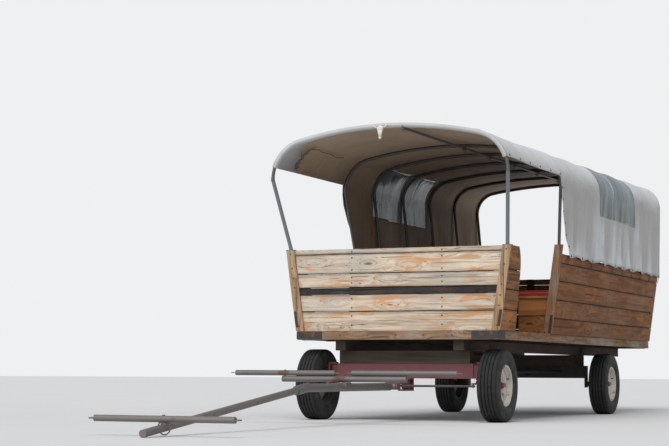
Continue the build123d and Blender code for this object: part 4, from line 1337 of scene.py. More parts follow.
@dataclass
class CoverFittings:
    """Grommets along the canvas hems, their lashings, the awning's laces and the skull at its crown."""

    cover: Cover
    inset: float = 0.024
    ring: float = 0.0095
    wire: float = 0.0026
    curtain_eyes: int = 6
    awning_eyes: int = 6
    awning_start: float = -0.42
    awning_pitch: float = 0.34
    drop: float = 0.085
    lash_radius: float = 0.002
    flap_edge: float = 0.5
    lace_radius: float = 0.0042
    lace_inset: float = 0.034
    lace_height: float = 0.23
    lace_points: int = 11
    strand_radius: float = 0.0035
    strand_inset: float = 0.036
    strand_back: float = 0.45
    strand_points: int = 9

    def eyes(self) -> list[tuple[Side, Vector]]:
        """Find the place of every grommet.

        Returns:
            Side, and station and height as the Y and Z of a vector.
        """
        cover = self.cover
        found = []
        for side in Side:
            for back in cover.lashing_stations():
                found.append((side, Vector((0, back, cover.hem[1] + self.inset))))
            for n in range(1, self.curtain_eyes + 1):
                height = cover.hem[1] + (cover.awning - cover.hem[1]) * n / (self.curtain_eyes + 1)
                found.append((side, Vector((0, cover.front_edge(height) + self.inset, height))))
            for n in range(self.awning_eyes):
                back = self.awning_start + n * self.awning_pitch
                found.append((side, Vector((0, back, cover.awning + self.inset))))
        return found

    def build(
        self, iron: bpy.types.Material, cord: bpy.types.Material, surface: bpy.types.Object
    ) -> None:
        """Make the grommets and lashings on the cloth's real surface.

        Args:
            iron: Grommet metal.
            cord: Lashing cord.
            surface: The canvas.
        """
        rings = bmesh.new()
        ties = bmesh.new()
        for side, place in self.eyes():
            start = Vector((side.value * 1.6, self.cover.axle_y + place.y, place.z))
            hit, spot, normal, _ = surface.ray_cast(start, Vector((-side.value, 0, 0)))
            if not hit:
                continue
            if normal.x * side.value < 0:
                normal = -normal
            add_ring(rings, spot + normal * 0.001, normal, self.ring, self.wire)
            if place.z < self.cover.hem[1] + 0.05:
                self.lash(ties, side, spot, normal)
        finish_piece(rings, "hem_grommets", [iron], "wagon")
        finish_piece(ties, "hem_lashings", [cord], "wagon")
        laces = bmesh.new()
        for side in Side:
            self.lace(laces, side)
        finish_piece(laces, "awning_laces", [cord], "wagon")

    def under(self, side: Side, back: float, height: float, inset: float) -> Vector:
        """Point under the awning's cloth at a station and height.

        Args:
            side: Side of the wagon.
            back: Station.
            height: Height wanted.
            inset: Depth below the outer face.

        Returns:
            The nearest point of the section.
        """
        cover = self.cover
        columns = [(part, n / 20) for part in ("leg", "corner") for n in range(20)]
        span, share = min(columns, key=lambda c: abs(cover.section(back, *c, inset)[1] - height))
        return cover.point((side, span, share), back, inset)

    def lace(self, bm: bmesh.types.BMesh, side: Side) -> None:
        """Add the lacing along the corner flap's inner border and the cord that runs on from it.

        Args:
            bm: Mesh that takes it.
            side: Side of the wagon.
        """
        cover = self.cover
        low = cover.awning + 0.03
        edge = cover.front + self.flap_edge
        zigzag = []
        for n in range(self.lace_points):
            height = low + self.lace_height * n / (self.lace_points - 1)
            back = edge + (0.035 if n % 2 else -0.03) - 0.004 * n
            zigzag.append(self.under(side, back, height, self.lace_inset))
        tube(bm, zigzag, self.lace_radius)
        strand = []
        run = []
        for n in range(self.strand_points):
            back = cover.front + self.strand_back + 0.03 * math.sin(n * 2.1)
            strand.append(self.under(side, back, low + 0.025 * n, self.strand_inset))
            height = low + 0.2 + 0.006 * math.sin(n * 1.7)
            run.append(self.under(side, edge + 0.1 * n, height, self.strand_inset))
        tube(bm, strand, self.strand_radius)
        tube(bm, run, self.strand_radius)

    def ornament(self, bone: bpy.types.Material) -> None:
        """Add the pale skull that hangs from the crown of the front edge.

        Args:
            bone: Its material.
        """
        cover = self.cover
        bm = bmesh.new()
        brow = Vector((-0.06, cover.axle_y + cover.front - 0.012, 2.895))
        squash = Matrix.Diagonal((1.0, 0.55, 1.0, 1.0))
        place = Matrix.Translation(brow) @ squash
        bmesh.ops.create_icosphere(bm, subdivisions=3, radius=0.034, matrix=place)
        snout = Matrix.Translation(brow + Vector((0, -0.002, -0.045))) @ squash
        bmesh.ops.create_cone(
            bm, cap_ends=True, segments=20, radius1=0.013, radius2=0.029, depth=0.085, matrix=snout
        )
        muzzle = Matrix.Translation(brow + Vector((0, -0.002, -0.088))) @ squash
        bmesh.ops.create_icosphere(bm, subdivisions=2, radius=0.0165, matrix=muzzle)
        horn = ((0.022, 0.012), (0.045, 0.015), (0.064, 0.024), (0.075, 0.042))
        for side in Side:
            tube(bm, [brow + Vector((side.value * x, 0, z)) for x, z in horn], 0.0065, sides=10)
        finish_piece(bm, "crown_ornament", [bone], "wagon")

    def lash(self, bm: bmesh.types.BMesh, side: Side, spot: Vector, normal: Vector) -> None:
        """Add the loop of cord from one grommet down to the wall.

        Args:
            bm: Mesh that takes it.
            side: Side of the wagon.
            spot: The grommet's middle.
            normal: Way that the grommet faces.
        """
        height = spot.z - self.drop
        aside = wall_x(height) + 0.004
        foot = Vector((side.value * aside, spot.y + 0.02 * math.sin(spot.y * 31.0), height))
        top = spot + normal * 0.004
        for offset in (-0.005, 0.004):
            run = foot - top
            shift = Vector((0, offset, 0))
            matrix = turned_to(run.normalized(), (foot + top) / 2 + shift)
            bmesh.ops.create_cone(
                bm,
                cap_ends=True,
                segments=8,
                radius1=self.lash_radius,
                radius2=self.lash_radius,
                depth=run.length,
                matrix=matrix,
            )
        add_dome(bm, foot, Vector((side.value, 0, -0.14)).normalized(), 0.008, 0.006)


# Seats


@dataclass
class Cushion:
    """Box cushion of padded vinyl with a welt round its top and bottom edges."""

    name: str
    node: str
    low: Vector
    high: Vector
    count: int = 1
    voxel: float = 0.011
    swell: float = 0.009
    pressure: float = 4.0
    frames: int = 14
    gap: float = 0.008
    welt: float = 0.0035
    corner: float = 0.02

    def blank(self) -> bpy.types.Object:
        """Slightly small block at the origin that the padding swells from."""
        length = (self.high.y - self.low.y) / self.count - self.gap
        size = (self.high.x - self.low.x, length, self.high.z - self.low.z)
        bm = bmesh.new()
        low = [-part / 2 + self.gap / 2 for part in size]
        high = [part / 2 - self.gap / 2 for part in size]
        add_block(bm, low, [*high[:2], high[2] - self.swell * 0.6], 0.009)
        name = f"{self.name}_blank"
        return placed(name, mesh_of(bm, name))

    def padded_mesh(self) -> bpy.types.Mesh:
        """Returns:
            The cushion's mesh about the origin.
        """
        piece = self.blank()
        bpy.context.view_layer.objects.active = piece
        remesh = piece.modifiers.new("remesh", "REMESH")
        remesh.mode = "VOXEL"
        remesh.voxel_size = self.voxel
        cloth = piece.modifiers.new("padding", "CLOTH").settings
        cloth.use_pressure = True
        cloth.uniform_pressure_force = self.pressure
        cloth.effector_weights.gravity = 0.0
        cloth.quality = 4
        for step in range(1, self.frames + 1):
            bpy.context.scene.frame_set(step)
        depsgraph = bpy.context.evaluated_depsgraph_get()
        swollen = bpy.data.meshes.new_from_object(piece.evaluated_get(depsgraph))
        piece.modifiers.remove(piece.modifiers[-1])
        bpy.context.scene.frame_set(1)
        depsgraph = bpy.context.evaluated_depsgraph_get()
        start = bpy.data.meshes.new_from_object(piece.evaluated_get(depsgraph))
        for vertex, first in zip(swollen.vertices, start.vertices):
            move = vertex.co - first.co
            if move.length > self.swell:
                move *= self.swell / move.length
            move.z = max(move.z, 0.0)
            rumple = noise.noise(first.co * 6.0) * 0.0025 if first.co.z > 0 else 0.0
            vertex.co = first.co + move + Vector((0, 0, rumple))
        bpy.data.objects.remove(piece)
        return swollen

    def build(self, vinyl: bpy.types.Material, slot: str) -> None:
        """Make the cushions in a row.

        Args:
            vinyl: Their cover.
            slot: The record's material slot; it is not used.
        """
        mesh = self.padded_mesh()
        bm = bmesh.new()
        pitch = (self.high.y - self.low.y) / self.count
        centre = (self.low + self.high) / 2
        for n in range(self.count):
            single = bmesh.new()
            single.from_mesh(mesh)
            move = Vector((centre.x, self.low.y + pitch * (n + 0.5), centre.z))
            bmesh.ops.translate(single, verts=single.verts, vec=move)
            self.add_welt(single, move, pitch)
            bm.from_mesh(mesh_of(single, "part"))
        piece = finish_piece(bm, self.name, [vinyl], "wagon", [self.node])

    def add_welt(self, bm: bmesh.types.BMesh, at: Vector, pitch: float) -> None:
        """Add the two welts of one cushion.

        Args:
            bm: Mesh of the cushion in its place.
            at: Middle of the cushion.
            pitch: Length of the seat that it takes.
        """
        half_x = (self.high.x - self.low.x) / 2 - 0.006
        half_y = pitch / 2 - 0.009
        rise = (self.high.z - self.low.z) / 2 - 0.008
        for height in (-rise, rise - 0.004):
            spots = []
            for turn, (sx, sy) in enumerate(((1, 1), (-1, 1), (-1, -1), (1, -1))):
                for step in range(5):
                    angle = math.pi / 2 * (turn + step / 4)
                    x = sx * (half_x - self.corner) + self.corner * math.cos(angle)
                    y = sy * (half_y - self.corner) + self.corner * math.sin(angle)
                    spots.append(at + Vector((x, y, height)))
            tube(bm, spots, self.welt, closed=True)


# Wheels


@dataclass
class Tyre:
    """Ribbed highway tyre, turned from its section, with zigzag groove edges."""

    name: str
    centre: Vector
    outboard: float
    steps: int = 144
    radius: float = 0.36
    shoulder: float = 0.345
    half_tread: float = 0.088
    groove_depth: float = 0.0085
    groove_half: float = 0.0045
    grooves: tuple[float, ...] = (0.0175, 0.0535)

    def half_section(self) -> list[tuple[float, float]]:
        """Outer half of the section.

        Returns:
            Axial and radial place of its points, from the tread's middle to the bead.
        """
        points = [(0.0, self.radius)]
        for groove in self.grooves:
            for share, depth in ((-1, 0.0), (-0.6, 1.0), (0.6, 1.0), (1, 0.0)):
                points.append((groove + self.groove_half * share, self.radius - depth * self.groove_depth))
        return points + [
            (0.0790, 0.3585), (0.0880, 0.3560), (0.0945, 0.3500), (0.0985, 0.3420), (0.1000, 0.3350),
            (0.1035, 0.3300), (0.1080, 0.3120), (0.1120, 0.2900), (0.1135, 0.2700), (0.1120, 0.2500),
            (0.1085, 0.2340), (0.1050, 0.2260), (0.1015, 0.2235), (0.0990, 0.2160), (0.0935, 0.2080),
            (0.0905, 0.2050), (0.0845, 0.2050), (0.0842, 0.1925), (0.0800, 0.1903), (0.0700, 0.1903),
        ]

    def build(self, rubber: bpy.types.Material, body: str) -> None:
        """Make the tyre.

        Args:
            rubber: Its material.
            body: Body of its wheel.
        """
        half = self.half_section()
        outline = [(-x, r) for x, r in reversed(half[1:])] + half
        bm = bmesh.new()
        verts = [bm.verts.new(self.centre + Vector((self.outboard * x, 0, r))) for x, r in outline]
        edges = [bm.edges.new(pair) for pair in zip(verts, verts[1:])]
        edges.append(bm.edges.new((verts[-1], verts[0])))
        bmesh.ops.spin(
            bm,
            geom=verts + edges,
            cent=self.centre,
            axis=(1, 0, 0),
            angle=FULL_TURN,
            steps=self.steps,
            use_merge=True,
        )
        self.zigzag(bm)
        bmesh.ops.recalc_face_normals(bm, faces=bm.faces)
        self.wrap(bm)
        finish_piece(bm, f"tread_{self.name}", [rubber], body, [f"tyre_{self.name}"])

    def angle(self, spot: Vector) -> float:
        """Angle of a point round the axle, from 0 to 1."""
        return math.atan2(spot.y - self.centre.y, spot.z - self.centre.z) / FULL_TURN % 1.0

    def polar(self, spot: Vector) -> tuple[float, float]:
        """Distances of a point from the tyre's middle plane and from the axle."""
        radius = math.hypot(spot.y - self.centre.y, spot.z - self.centre.z)
        return abs(spot.x - self.centre.x), radius

    def zigzag(self, bm: bmesh.types.BMesh) -> None:
        """Shift the groove walls sideways in step round the tyre.

        Args:
            bm: Mesh of the tyre.
        """
        for vertex in bm.verts:
            aside, radius = self.polar(vertex.co)
            near = any(abs(aside - groove) < self.groove_half + 0.0005 for groove in self.grooves)
            if near and radius > self.shoulder:
                step = round(self.angle(vertex.co) * self.steps)
                vertex.co.x += 0.0022 if step // 2 % 2 else -0.0022

    def wrap(self, bm: bmesh.types.BMesh) -> None:
        """Give the rubber coordinates round the tyre and over its section.

        Args:
            bm: Mesh of the tyre.
        """
        layer = bm.loops.layers.uv.new("wrap")
        for face in bm.faces:
            base = self.angle(face.calc_center_median())
            for loop in face.loops:
                around = self.angle(loop.vert.co)
                around += round(base - around)
                aside, radius = self.polar(loop.vert.co)
                over = aside / self.half_tread * 0.5
                if radius <= self.shoulder:
                    over = 0.5 + (0.356 - radius) * 3
                loop[layer].uv = (around, over)


@dataclass
class WheelFittings:
    """Wheel nuts, studs and valve of one wheel, each a drum with a radius and a length."""

    name: str
    centre: Vector
    outboard: float
    nuts: int = 6
    nut_circle: float = 0.056
    nut: tuple[float, float] = (0.0115, 0.018)
    stud: tuple[float, float] = (0.006, 0.012)
    valve: tuple[float, float] = (0.0055, 0.03)
    valve_circle: float = 0.166
    valve_turn: float = 0.4

    def build(self, steel: bpy.types.Material, body: str) -> None:
        """Make the fittings.

        Args:
            steel: Their metal.
            body: Body of the wheel.
        """
        way = Vector((self.outboard, 0, 0))
        bm = bmesh.new()
        for n in range(self.nuts):
            angle = FULL_TURN * (n + 0.5) / self.nuts
            spot = self.centre + Vector((0, math.cos(angle), math.sin(angle))) * self.nut_circle
            add_drum(bm, spot + way * 0.017, way, *self.nut, 6)
            add_drum(bm, spot + way * 0.028, way, *self.stud, 12)
        turned = Vector((0, math.cos(self.valve_turn), math.sin(self.valve_turn)))
        valve = self.centre + turned * self.valve_circle
        add_drum(bm, valve + way * 0.055, way, *self.valve, 12)
        finish_piece(bm, f"wheel_nuts_{self.name}", [steel], body, smooth=False)


# Fittings of the box and bows


@dataclass
class BoxFittings:
    """Carriage bolts, corner irons, stake irons and the dirt in the joints of the plank box."""

    axle_y: float
    front: float = -0.265
    strip_front: float = -0.253
    strip_height: float = 1.3
    corner_front: float = -0.29
    iron: float = 0.0025
    bolt: tuple[float, float] = (0.0085, 0.005)
    fill_depth: tuple[float, float] = (0.010, 0.018)
    fill_height: tuple[float, float] = (-0.003, 0.007)

    def bolts(self) -> list[tuple[Vector, Vector]]:
        """Place and facing of each bolt head."""
        y = self.axle_y
        ahead = Vector((0, -1, 0))
        found = []
        for x in (-0.485, 0.485):
            for z in (0.96, 1.05, 1.135, 1.225, self.strip_height, 1.385, 1.44, 1.515, 1.64, 1.702):
                front = self.strip_front if z == self.strip_height else self.front
                found.append((Vector((x, y + front, z)), ahead))
        for side in Side:
            out = Vector((side.value, 0, -FLARE)).normalized()
            for z in (0.95, 1.14, 1.24, 1.345, 1.44, 1.54, 1.69):
                aside = side.value * (wall_x(z) - 0.045)
                found.append((Vector((aside, y + self.corner_front, z)), ahead))
            for back in (1.485, 1.72, 3.535, 5.35, 5.78):
                for z in (0.95, 1.02, 1.12, 1.21, 1.31, 1.41, 1.51, 1.61):
                    found.append((Vector((side.value * wall_x(z), y + back, z)), out))
            for z in (0.95, 1.05, 1.15, 1.25, 1.35, 1.45, 1.54, 1.68):
                found.append((Vector((side.value * wall_x(z), y - 0.235, z)), out))
            for n in range(13):
                sill = Vector((side.value * 1.08, y + 0.05 + n * 0.46, 0.855))
                found.append((sill, Vector((side.value, 0, 0))))
        for n in range(7):
            found.append((Vector((-0.9 + n * 0.3, y - 0.29, 0.855)), ahead))
        return found

    def build(self, nails: bpy.types.Material, iron: bpy.types.Material) -> None:
        """Make the bolts and irons, and the dirt in the joints.

        Args:
            nails: Bolt metal.
            iron: Metal of the corner and stake irons, whose colour the dirt takes too.
        """
        bm = bmesh.new()
        for spot, facing in self.bolts():
            add_dome(bm, spot, facing, *self.bolt)
        finish_piece(bm, "box_bolts", [nails], "wagon")
        bm = bmesh.new()
        y = self.axle_y
        for side in Side:
            s = side.value
            wraps = (
                ((0.80, y - 0.2935, 0.818), (1.0835, y - 0.2900, 0.894)),
                ((1.0800, y - 0.2935, 0.818), (1.0835, y - 0.0900, 0.894)),
            )
            for low, high in wraps:
                xs = sorted((s * low[0], s * high[0]))
                add_block(bm, (xs[0], *low[1:]), (xs[1], *high[1:]))
            for x, z in ((0.84, 0.856), (0.93, 0.856), (1.02, 0.856)):
                add_dome(bm, Vector((s * x, y - 0.2935, z)), Vector((0, -1, 0)), 0.009, 0.005)
            self.foot_iron(bm, side, y + self.corner_front - self.iron, 0.94, 1.10)
            self.foot_iron(bm, side, y + 1.4200 - self.iron, 0.905, 1.10)
        finish_piece(bm, "box_irons", [iron], "wagon", smooth=False)
        self.seams(iron)

    def seams(self, dirt: bpy.types.Material) -> None:
        """Fill the plank joints of the flared walls, where dirt and old paint sit in them.

        Args:
            dirt: Material of the fill.
        """
        bm = bmesh.new()
        y = self.axle_y
        runs = [(top, -0.22, 0.03) for top in RETURN_TOPS] + [(top, 1.7, 5.79) for top in SIDE_TOPS[:-1]]
        for side in Side:
            for top, start, end in runs:
                low, high = sorted(side.value * (wall_x(top) - depth) for depth in self.fill_depth)
                bottom, lip = self.fill_height
                add_block(bm, (low, y + start, top + bottom), (high, y + end, top + lip), 0.0008)
        finish_piece(bm, "joint_fill", [dirt], "wagon", smooth=False)

    def foot_iron(self, bm: bmesh.types.BMesh, side: Side, front: float, low: float, high: float) -> None:
        """Add the leaning strap at the foot of a corner board or stake.

        Args:
            bm: Mesh that takes it.
            side: Side of the wagon.
            front: Y of its front face.
            low: Its lowest height.
            high: Its highest height.
        """
        verts = add_block(bm, (-0.03, front, low), (0.0, front + self.iron, high), 0.0008)
        for vertex in verts:
            vertex.co.x = side.value * (wall_x(vertex.co.z) + vertex.co.x - 0.004)
        if side is Side.RIGHT:
            faces = {face for vertex in verts for face in vertex.link_faces}
            bmesh.ops.reverse_faces(bm, faces=list(faces))


@dataclass
class BowFittings:
    """Slip sleeves and ridge clamps of the bows."""

    cover: Cover
    bow_r: float = 0.017
    ridge_x: float = 0.17
    bow_inset: float = 0.024
    arch_inset: float = 0.0213
    sleeve_wall: float = 0.0022
    sleeve_length: float = 0.042
    clamp_bolt: tuple[float, float] = (0.0048, 0.062)
    crown_half: float = 0.95
    ridge_drop: float = 0.0265

    def build(self, steel: bpy.types.Material) -> None:
        """Make the fittings.

        Args:
            steel: Their metal.
        """
        bm = bmesh.new()
        cover = self.cover
        for back in (*cover.bows, cover.arch):
            inset = self.arch_inset if back == cover.arch else self.bow_inset
            for side in Side:
                joints = (("corner", 0.012, 0.05), ("corner", 0.99, 0.95), ("crown", 0.02, 0.06))
                for span, share, beside in joints:
                    spot = cover.point((side, span, share), back, inset)
                    along = cover.point((side, span, beside), back, inset) - spot
                    add_drum(bm, spot, along.normalized(), self.bow_r + self.sleeve_wall, self.sleeve_length)
            ridge = self.ridge_spot(back, inset)
            low, high = Vector((-0.02, -0.028, -0.006)), Vector((0.02, 0.028, 0.004))
            add_block(bm, ridge + low, ridge + high, 0.002)
            for offset in (-0.021, 0.021):
                spot = ridge + Vector((0, offset, 0.006))
                add_drum(bm, spot, Vector((0, 0, 1)), *self.clamp_bolt, 8)
        finish_piece(bm, "bow_sleeves", [steel], "wagon")

    def ridge_spot(self, back: float, inset: float) -> Vector:
        """Underside of the ridge pipe at a bow."""
        _, z = self.cover.section(back, "crown", 1 - self.ridge_x / self.crown_half, inset)
        return Vector((self.ridge_x, self.cover.axle_y + back, z - self.bow_r - self.ridge_drop))


# Stage


@dataclass(frozen=True)
class Studio:
    """Floor, lamps, world and the camera of the photograph."""

    camera_at: tuple[float, float, float] = (6.370, -16.489, 0.484)
    yaw: float = 23.884
    pitch: float = 4.971
    roll: float = 0.278
    lens: float = 92.31
    backdrop: Colour = (0.86, 0.87, 0.88)
    floor_radius: float = 140.0

    def build(self) -> None:
        """Make the stage."""
        self.make_floor()
        self.make_world()
        self.make_lamps()
        self.make_camera()

    def make_floor(self) -> None:
        """Pale floor under the wheels."""
        material, graph, shader = new_material("studio_floor")
        tone = graph.between(graph.cloud(graph.place(), 0.7, 5.0), 0.56, 0.62)
        graph.feed(shader.inputs["Base Color"], graph.joined(tone, tone, tone))
        shader.inputs["Roughness"].default_value = 0.9
        bm = bmesh.new()
        bmesh.ops.create_circle(bm, cap_ends=True, segments=64, radius=self.floor_radius)
        mesh = mesh_of(bm, "studio_floor")
        mesh.materials.append(material)
        placed("studio_floor", mesh)

    def make_world(self) -> None:
        """Soft light from all round, with a pale backdrop."""
        world = bpy.data.worlds.new("studio_world")
        bpy.context.scene.world = world
        world.use_nodes = True
        world.node_tree.nodes.clear()
        graph = Graph(world.node_tree)
        soft = graph.node("Background", {"Color": (0.93, 0.96, 1.0), "Strength": 0.55})
        shown = graph.node("Background", {"Color": self.backdrop, "Strength": 1.0})
        rays = graph.node("LightPath").outputs
        seen = graph.math("MAXIMUM", rays["Is Camera Ray"], rays["Is Transmission Ray"])
        mixed = graph.node("MixShader", {0: seen})
        graph.tree.links.new(soft.outputs[0], mixed.inputs[1])
        graph.tree.links.new(shown.outputs[0], mixed.inputs[2])
        output = graph.node("OutputWorld")
        graph.tree.links.new(mixed.outputs[0], output.inputs[0])

    def make_lamps(self) -> None:
        """Overcast key light from above and a low fill from the camera's side."""
        for name, energy, angle, tilt, turn in (
            ("sky_key", 1.9, 38.0, 36.0, 8.0),
            ("front_fill", 1.0, 60.0, 64.0, -8.0),
        ):
            lamp = bpy.data.lights.new(name, "SUN")
            lamp.energy = energy
            lamp.angle = math.radians(angle)
            made = placed(name, lamp)
            made.rotation_euler = (math.radians(tilt), 0, math.radians(turn))

    def make_camera(self) -> None:
        """Camera at the photograph's place."""
        yaw, pitch, roll = (math.radians(value) for value in (self.yaw, self.pitch, self.roll))
        forward = Vector((-math.sin(yaw) * math.cos(pitch), math.cos(yaw) * math.cos(pitch), math.sin(pitch)))
        level = Vector((math.cos(yaw), math.sin(yaw), 0))
        upward = level.cross(forward)
        right = level * math.cos(roll) + upward * math.sin(roll)
        top = upward * math.cos(roll) - level * math.sin(roll)
        data = bpy.data.cameras.new("photo_camera")
        data.lens = self.lens
        data.sensor_width = 36.0
        data.clip_end = 400.0
        camera = placed("photo_camera", data)
        matrix = Matrix((right, top, -forward)).transposed().to_4x4()
        matrix.translation = Vector(self.camera_at)
        camera.matrix_world = matrix
        bpy.context.scene.camera = camera


# The wagon


# Tops of the boards, as heights above the ground, and the canvas's seams, as stations.
SIDE_TOPS = (1.065, 1.261, 1.460, 1.650, 1.750)
FRONT_TOPS = (1.093, 1.263, 1.336, 1.478, 1.675)
RETURN_TOPS = (1.099, 1.297, 1.491)
BENCH_TOPS = (1.090, 1.272)
CANVAS_SEAMS = (-0.36, 1.3, 2.80, 4.62)
WHEELS = ("front_left", "front_right", "rear_left", "rear_right")


class Wagon:
    """Builds the wagon's pieces in order and dresses the nodes that stay."""

    seat_width: float = 0.3605
    weld: float = 0.00002
    sharp: float = math.radians(40)

    def __init__(self, frame: dict) -> None:
        """Keep the frame and make the finishes.
        """
        self.nodes: dict[str, bpy.types.Object] = frame["nodes"]
        low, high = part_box("front_axle")
        self.axle_y = (low.y + high.y) / 2
        self.effects = Effects()
        self.finishes = {finish.name: finish.build(self.effects) for finish in self.palette()}

    @staticmethod
    def palette() -> list[Finish]:
        """List all the finishes.

        Returns:
            The finishes, each under its own name.
        """
        cream, tan = (0.62, 0.53, 0.42), (0.37, 0.265, 0.175)
        oak, umber = (0.235, 0.09, 0.022), (0.115, 0.039, 0.01)
        orange = (0.5, 0.2, 0.05)
        grey = (0.36, 0.335, 0.305)
        worn = (0.25, 0.155, 0.09)
        return [
            PlankFinish("front_planks", cream, tan, grey, orange, Grain.ACROSS, FRONT_TOPS,
                        greyed=0.7, stained=0.6, rough=0.75, streaked=0.75),
            PlankFinish("corner_boards", (0.42, 0.28, 0.16), (0.2, 0.115, 0.06), grey, (0.3, 0.12, 0.035),
                        Grain.UPRIGHT, greyed=0.4, stained=0.55, streaked=0.5),
            PlankFinish("stake_boards", (0.31, 0.17, 0.085), (0.15, 0.07, 0.032), grey, (0.36, 0.15, 0.05),
                        Grain.UPRIGHT, greyed=0.35, stained=0.5, streaked=0.55),
            PlankFinish("side_planks", oak, umber, worn, (0.36, 0.13, 0.028), Grain.ALONG, SIDE_TOPS,
                        greyed=0.36, stained=0.55, knots=0.8, rough=0.66, streaked=0.45),
            PlankFinish("return_planks", (0.33, 0.135, 0.04), (0.13, 0.045, 0.012), (0.1, 0.06, 0.035),
                        orange, Grain.ALONG, RETURN_TOPS, greyed=0.5, stained=0.6, rough=0.66, streaked=0.6),
            PlankFinish("rear_planks", oak, umber, worn, (0.36, 0.13, 0.028), Grain.ACROSS, SIDE_TOPS,
                        greyed=0.36, stained=0.55, streaked=0.45),
            PlankFinish("bench_planks", (0.36, 0.14, 0.04), (0.17, 0.06, 0.02), worn, orange, Grain.BY_FACE,
                        BENCH_TOPS, greyed=0.15, stained=0.5, rough=0.6),
            PlankFinish("dark_board", (0.045, 0.036, 0.033), (0.016, 0.013, 0.012), (0.12, 0.11, 0.1),
                        (0.075, 0.04, 0.022), Grain.ACROSS, greyed=0.4, stained=0.5),
            PlankFinish("sill_boards", (0.3, 0.185, 0.11), (0.12, 0.068, 0.04), grey, (0.4, 0.16, 0.045),
                        greyed=0.5, stained=0.55, knots=0.6, rough=0.78, dusty=0.1, streaked=0.7),
            PlankFinish("rough_timber", (0.06, 0.042, 0.03), (0.025, 0.018, 0.013), (0.06, 0.054, 0.047),
                        (0.07, 0.04, 0.024), Grain.BY_FACE, greyed=0.6, knots=0.7, rough=0.85, dusty=0.15),
            PlankFinish("deck_boards", (0.24, 0.17, 0.11), (0.1, 0.065, 0.04), grey, (0.2, 0.11, 0.06),
                        Grain.ALONG, greyed=0.7, stained=0.3, knots=0.8, rough=0.8, dusty=0.5),
            SteelFinish("bow_pipe", (0.095, 0.094, 0.091), rusted=0.3, dusty=0.0, metallic=0.3, rough=0.42),
            SteelFinish("zinc_pipe", (0.2, 0.215, 0.23), rusted=0.2, dusty=0.0, metallic=0.6, rough=0.42),
            SteelFinish("red_gear", (0.135, 0.022, 0.03), rusted=0.34, dusty=0.3, dust_top=0.75, rough=0.5),
            SteelFinish("dark_gear", (0.02, 0.018, 0.018), rusted=0.35, dusty=0.3, dust_top=0.7, rough=0.6),
            SteelFinish("pole_pipe", (0.16, 0.148, 0.143), (0.1, 0.05, 0.03), 0.42, 3.5, 0.25, 0.6,
                        metallic=0.6, rough=0.5),
            # The rims' inner barrels take painted shade.
            SteelFinish("wheel_enamel", (0.6, 0.565, 0.5), (0.2, 0.1, 0.045), 0.5, 9.0, 0.3, 0.75, rough=0.55,
                        shade_within=0.965),
            SteelFinish("nail_iron", (0.1, 0.09, 0.085), rusted=0.6, patch_scale=14.0, dusty=0.0,
                        metallic=0.5, rough=0.55),
            SteelFinish("black_iron", (0.03, 0.028, 0.028), rusted=0.45, patch_scale=12.0, dusty=0.2,
                        dust_top=1.3, metallic=0.4, rough=0.55),
            CanvasFinish("canvas_outer", (0.56, 0.575, 0.59), (0.29, 0.275, 0.245), CANVAS_SEAMS, 0.6),
            CanvasFinish("canvas_inner", (0.4, 0.3, 0.195), (0.22, 0.155, 0.1), CANVAS_SEAMS, 0.7),
            WindowFinish("clear_vinyl"),
            VinylFinish("red_vinyl", (0.33, 0.014, 0.016), (0.42, 0.06, 0.05)),
            RubberFinish("tyre_rubber"),
            CanvasFinish("lashing_cord", (0.16, 0.14, 0.11), (0.07, 0.06, 0.05)),
            SteelFinish("bone", (0.62, 0.58, 0.5), (0.2, 0.15, 0.1), 0.3, 30.0, 0.0, rough=0.7),
        ]

    def dress(self) -> None:
        """Give the nodes that stay their finish, and round their sharp edges."""
        rims = tuple(f"rim_{name}" for name in WHEELS)
        hubs = tuple(f"hub_{name}" for name in WHEELS)
        table = (
            ("front_planks", 0.0022, ("front_wall", "front_rail")),
            ("dark_board", 0.002, ("front_strip",)),
            ("corner_boards", 0.003, ("corner_boards",)),
            ("stake_boards", 0.003, ("door_stakes",)),
            ("side_planks", 0.0022, ("side_wall_left", "side_wall_right")),
            ("return_planks", 0.0022, ("front_return_left", "front_return_right")),
            ("rear_planks", 0.0022, ("rear_wall",)),
            ("bench_planks", 0.002, ("side_benches", "driver_bench")),
            ("sill_boards", 0.003, ("sill_boards",)),
            ("rough_timber", 0.003, ("stringers", "joists", "wall_studs", "bolsters")),
            ("deck_boards", 0.002, ("deck",)),
            ("bow_pipe", 0.0, ("bow_legs", "bow_corners", "bow_crowns", "front_arch", "ridge_pipe")),
            ("zinc_pipe", 0.0, ("front_posts",)),
            ("red_gear", 0.0015, ("front_axle", "knuckle_left", "knuckle_right", "steering_base")),
            ("red_gear", 0.0, hubs),
            ("dark_gear", 0.0015, ("rear_axle", "reach", "tie_rod")),
            ("pole_pipe", 0.0, ("tongue", "pole", "evener", "neck_yoke")),
            ("pole_pipe", 0.0, ("singletree_left", "singletree_right")),
            ("wheel_enamel", 0.0, rims),
        )
        for finish, edge, names in table:
            for name in names:
                node = self.nodes[name]
                if not node.material_slots:
                    node.data.materials.append(self.finishes[finish])
                for slot in node.material_slots:
                    slot.material = self.finishes[finish]
                if edge:
                    weld = node.modifiers.new("weld", "WELD")
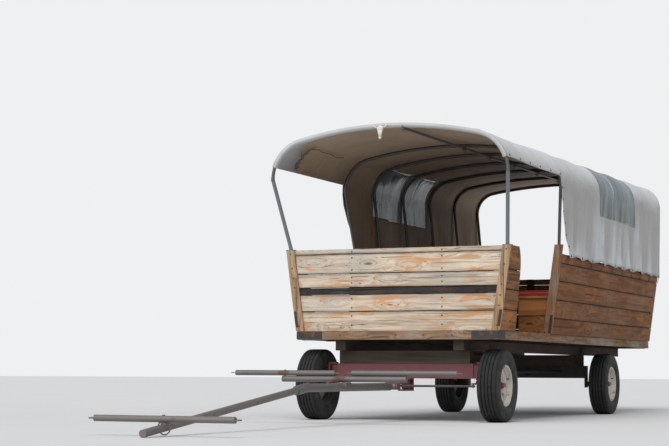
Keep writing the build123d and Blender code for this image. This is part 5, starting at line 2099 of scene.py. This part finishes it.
                    weld.merge_threshold = self.weld
                    rounded = node.modifiers.new("rounded", "BEVEL")
                    rounded.width = edge
                    rounded.segments = 2
                    rounded.limit_method = "ANGLE"
                    rounded.angle_limit = self.sharp
                LOG.info("%s: %s", name, finish)

    def build_cover(self) -> None:
        """Make the canvas, its windows and its fittings."""
        cover = Cover(self.axle_y)
        canvas = [self.finishes["canvas_outer"], self.finishes["canvas_inner"]]
        sheet = cover.build(canvas, self.finishes["clear_vinyl"])
        fittings = CoverFittings(cover)
        fittings.build(self.finishes["black_iron"], self.finishes["lashing_cord"], sheet)
        fittings.ornament(self.finishes["bone"])
        BowFittings(cover).build(self.finishes["bow_pipe"])

    def build_seats(self) -> None:
        """Make the cushions."""
        vinyl = self.finishes["red_vinyl"]
        low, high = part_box("side_cushions")
        for side in Side:
            near, far = sorted((side.value * high.x, side.value * (high.x - self.seat_width)))
            name = f"cushion_{side.name.lower()}"
            lowest, highest = Vector((near, low.y, low.z)), Vector((far, high.y, high.z))
            Cushion(name, "side_cushions", lowest, highest, count=3).build(vinyl, "red_vinyl")
        low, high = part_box("driver_cushion")
        Cushion("cushion_driver", "driver_cushion", low, high, voxel=0.012).build(vinyl, "red_vinyl")

    def build_wheels(self) -> None:
        """Make the tyres and the wheels' small parts."""
        for name in WHEELS:
            low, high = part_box(f"tyre_{name}")
            centre = (low + high) / 2
            outboard = 1.0 if centre.x > 0 else -1.0
            body = f"wheel_{name}"
            Tyre(name, centre, outboard).build(self.finishes["tyre_rubber"], body)
            WheelFittings(name, centre, outboard).build(self.finishes["black_iron"], body)

    def build(self) -> None:
        """Make everything."""
        self.dress()
        self.build_cover()
        self.build_seats()
        self.build_wheels()
        BoxFittings(self.axle_y).build(self.finishes["nail_iron"], self.finishes["black_iron"])


def main() -> None:
    """Build the dressed wagon on its stage."""
    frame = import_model()
    bpy.context.scene.view_settings.view_transform = "Standard"
    Wagon(frame).build()
    Studio().build()
    LOG.info("wagon dressed")


if __name__ == "__main__":
    main()
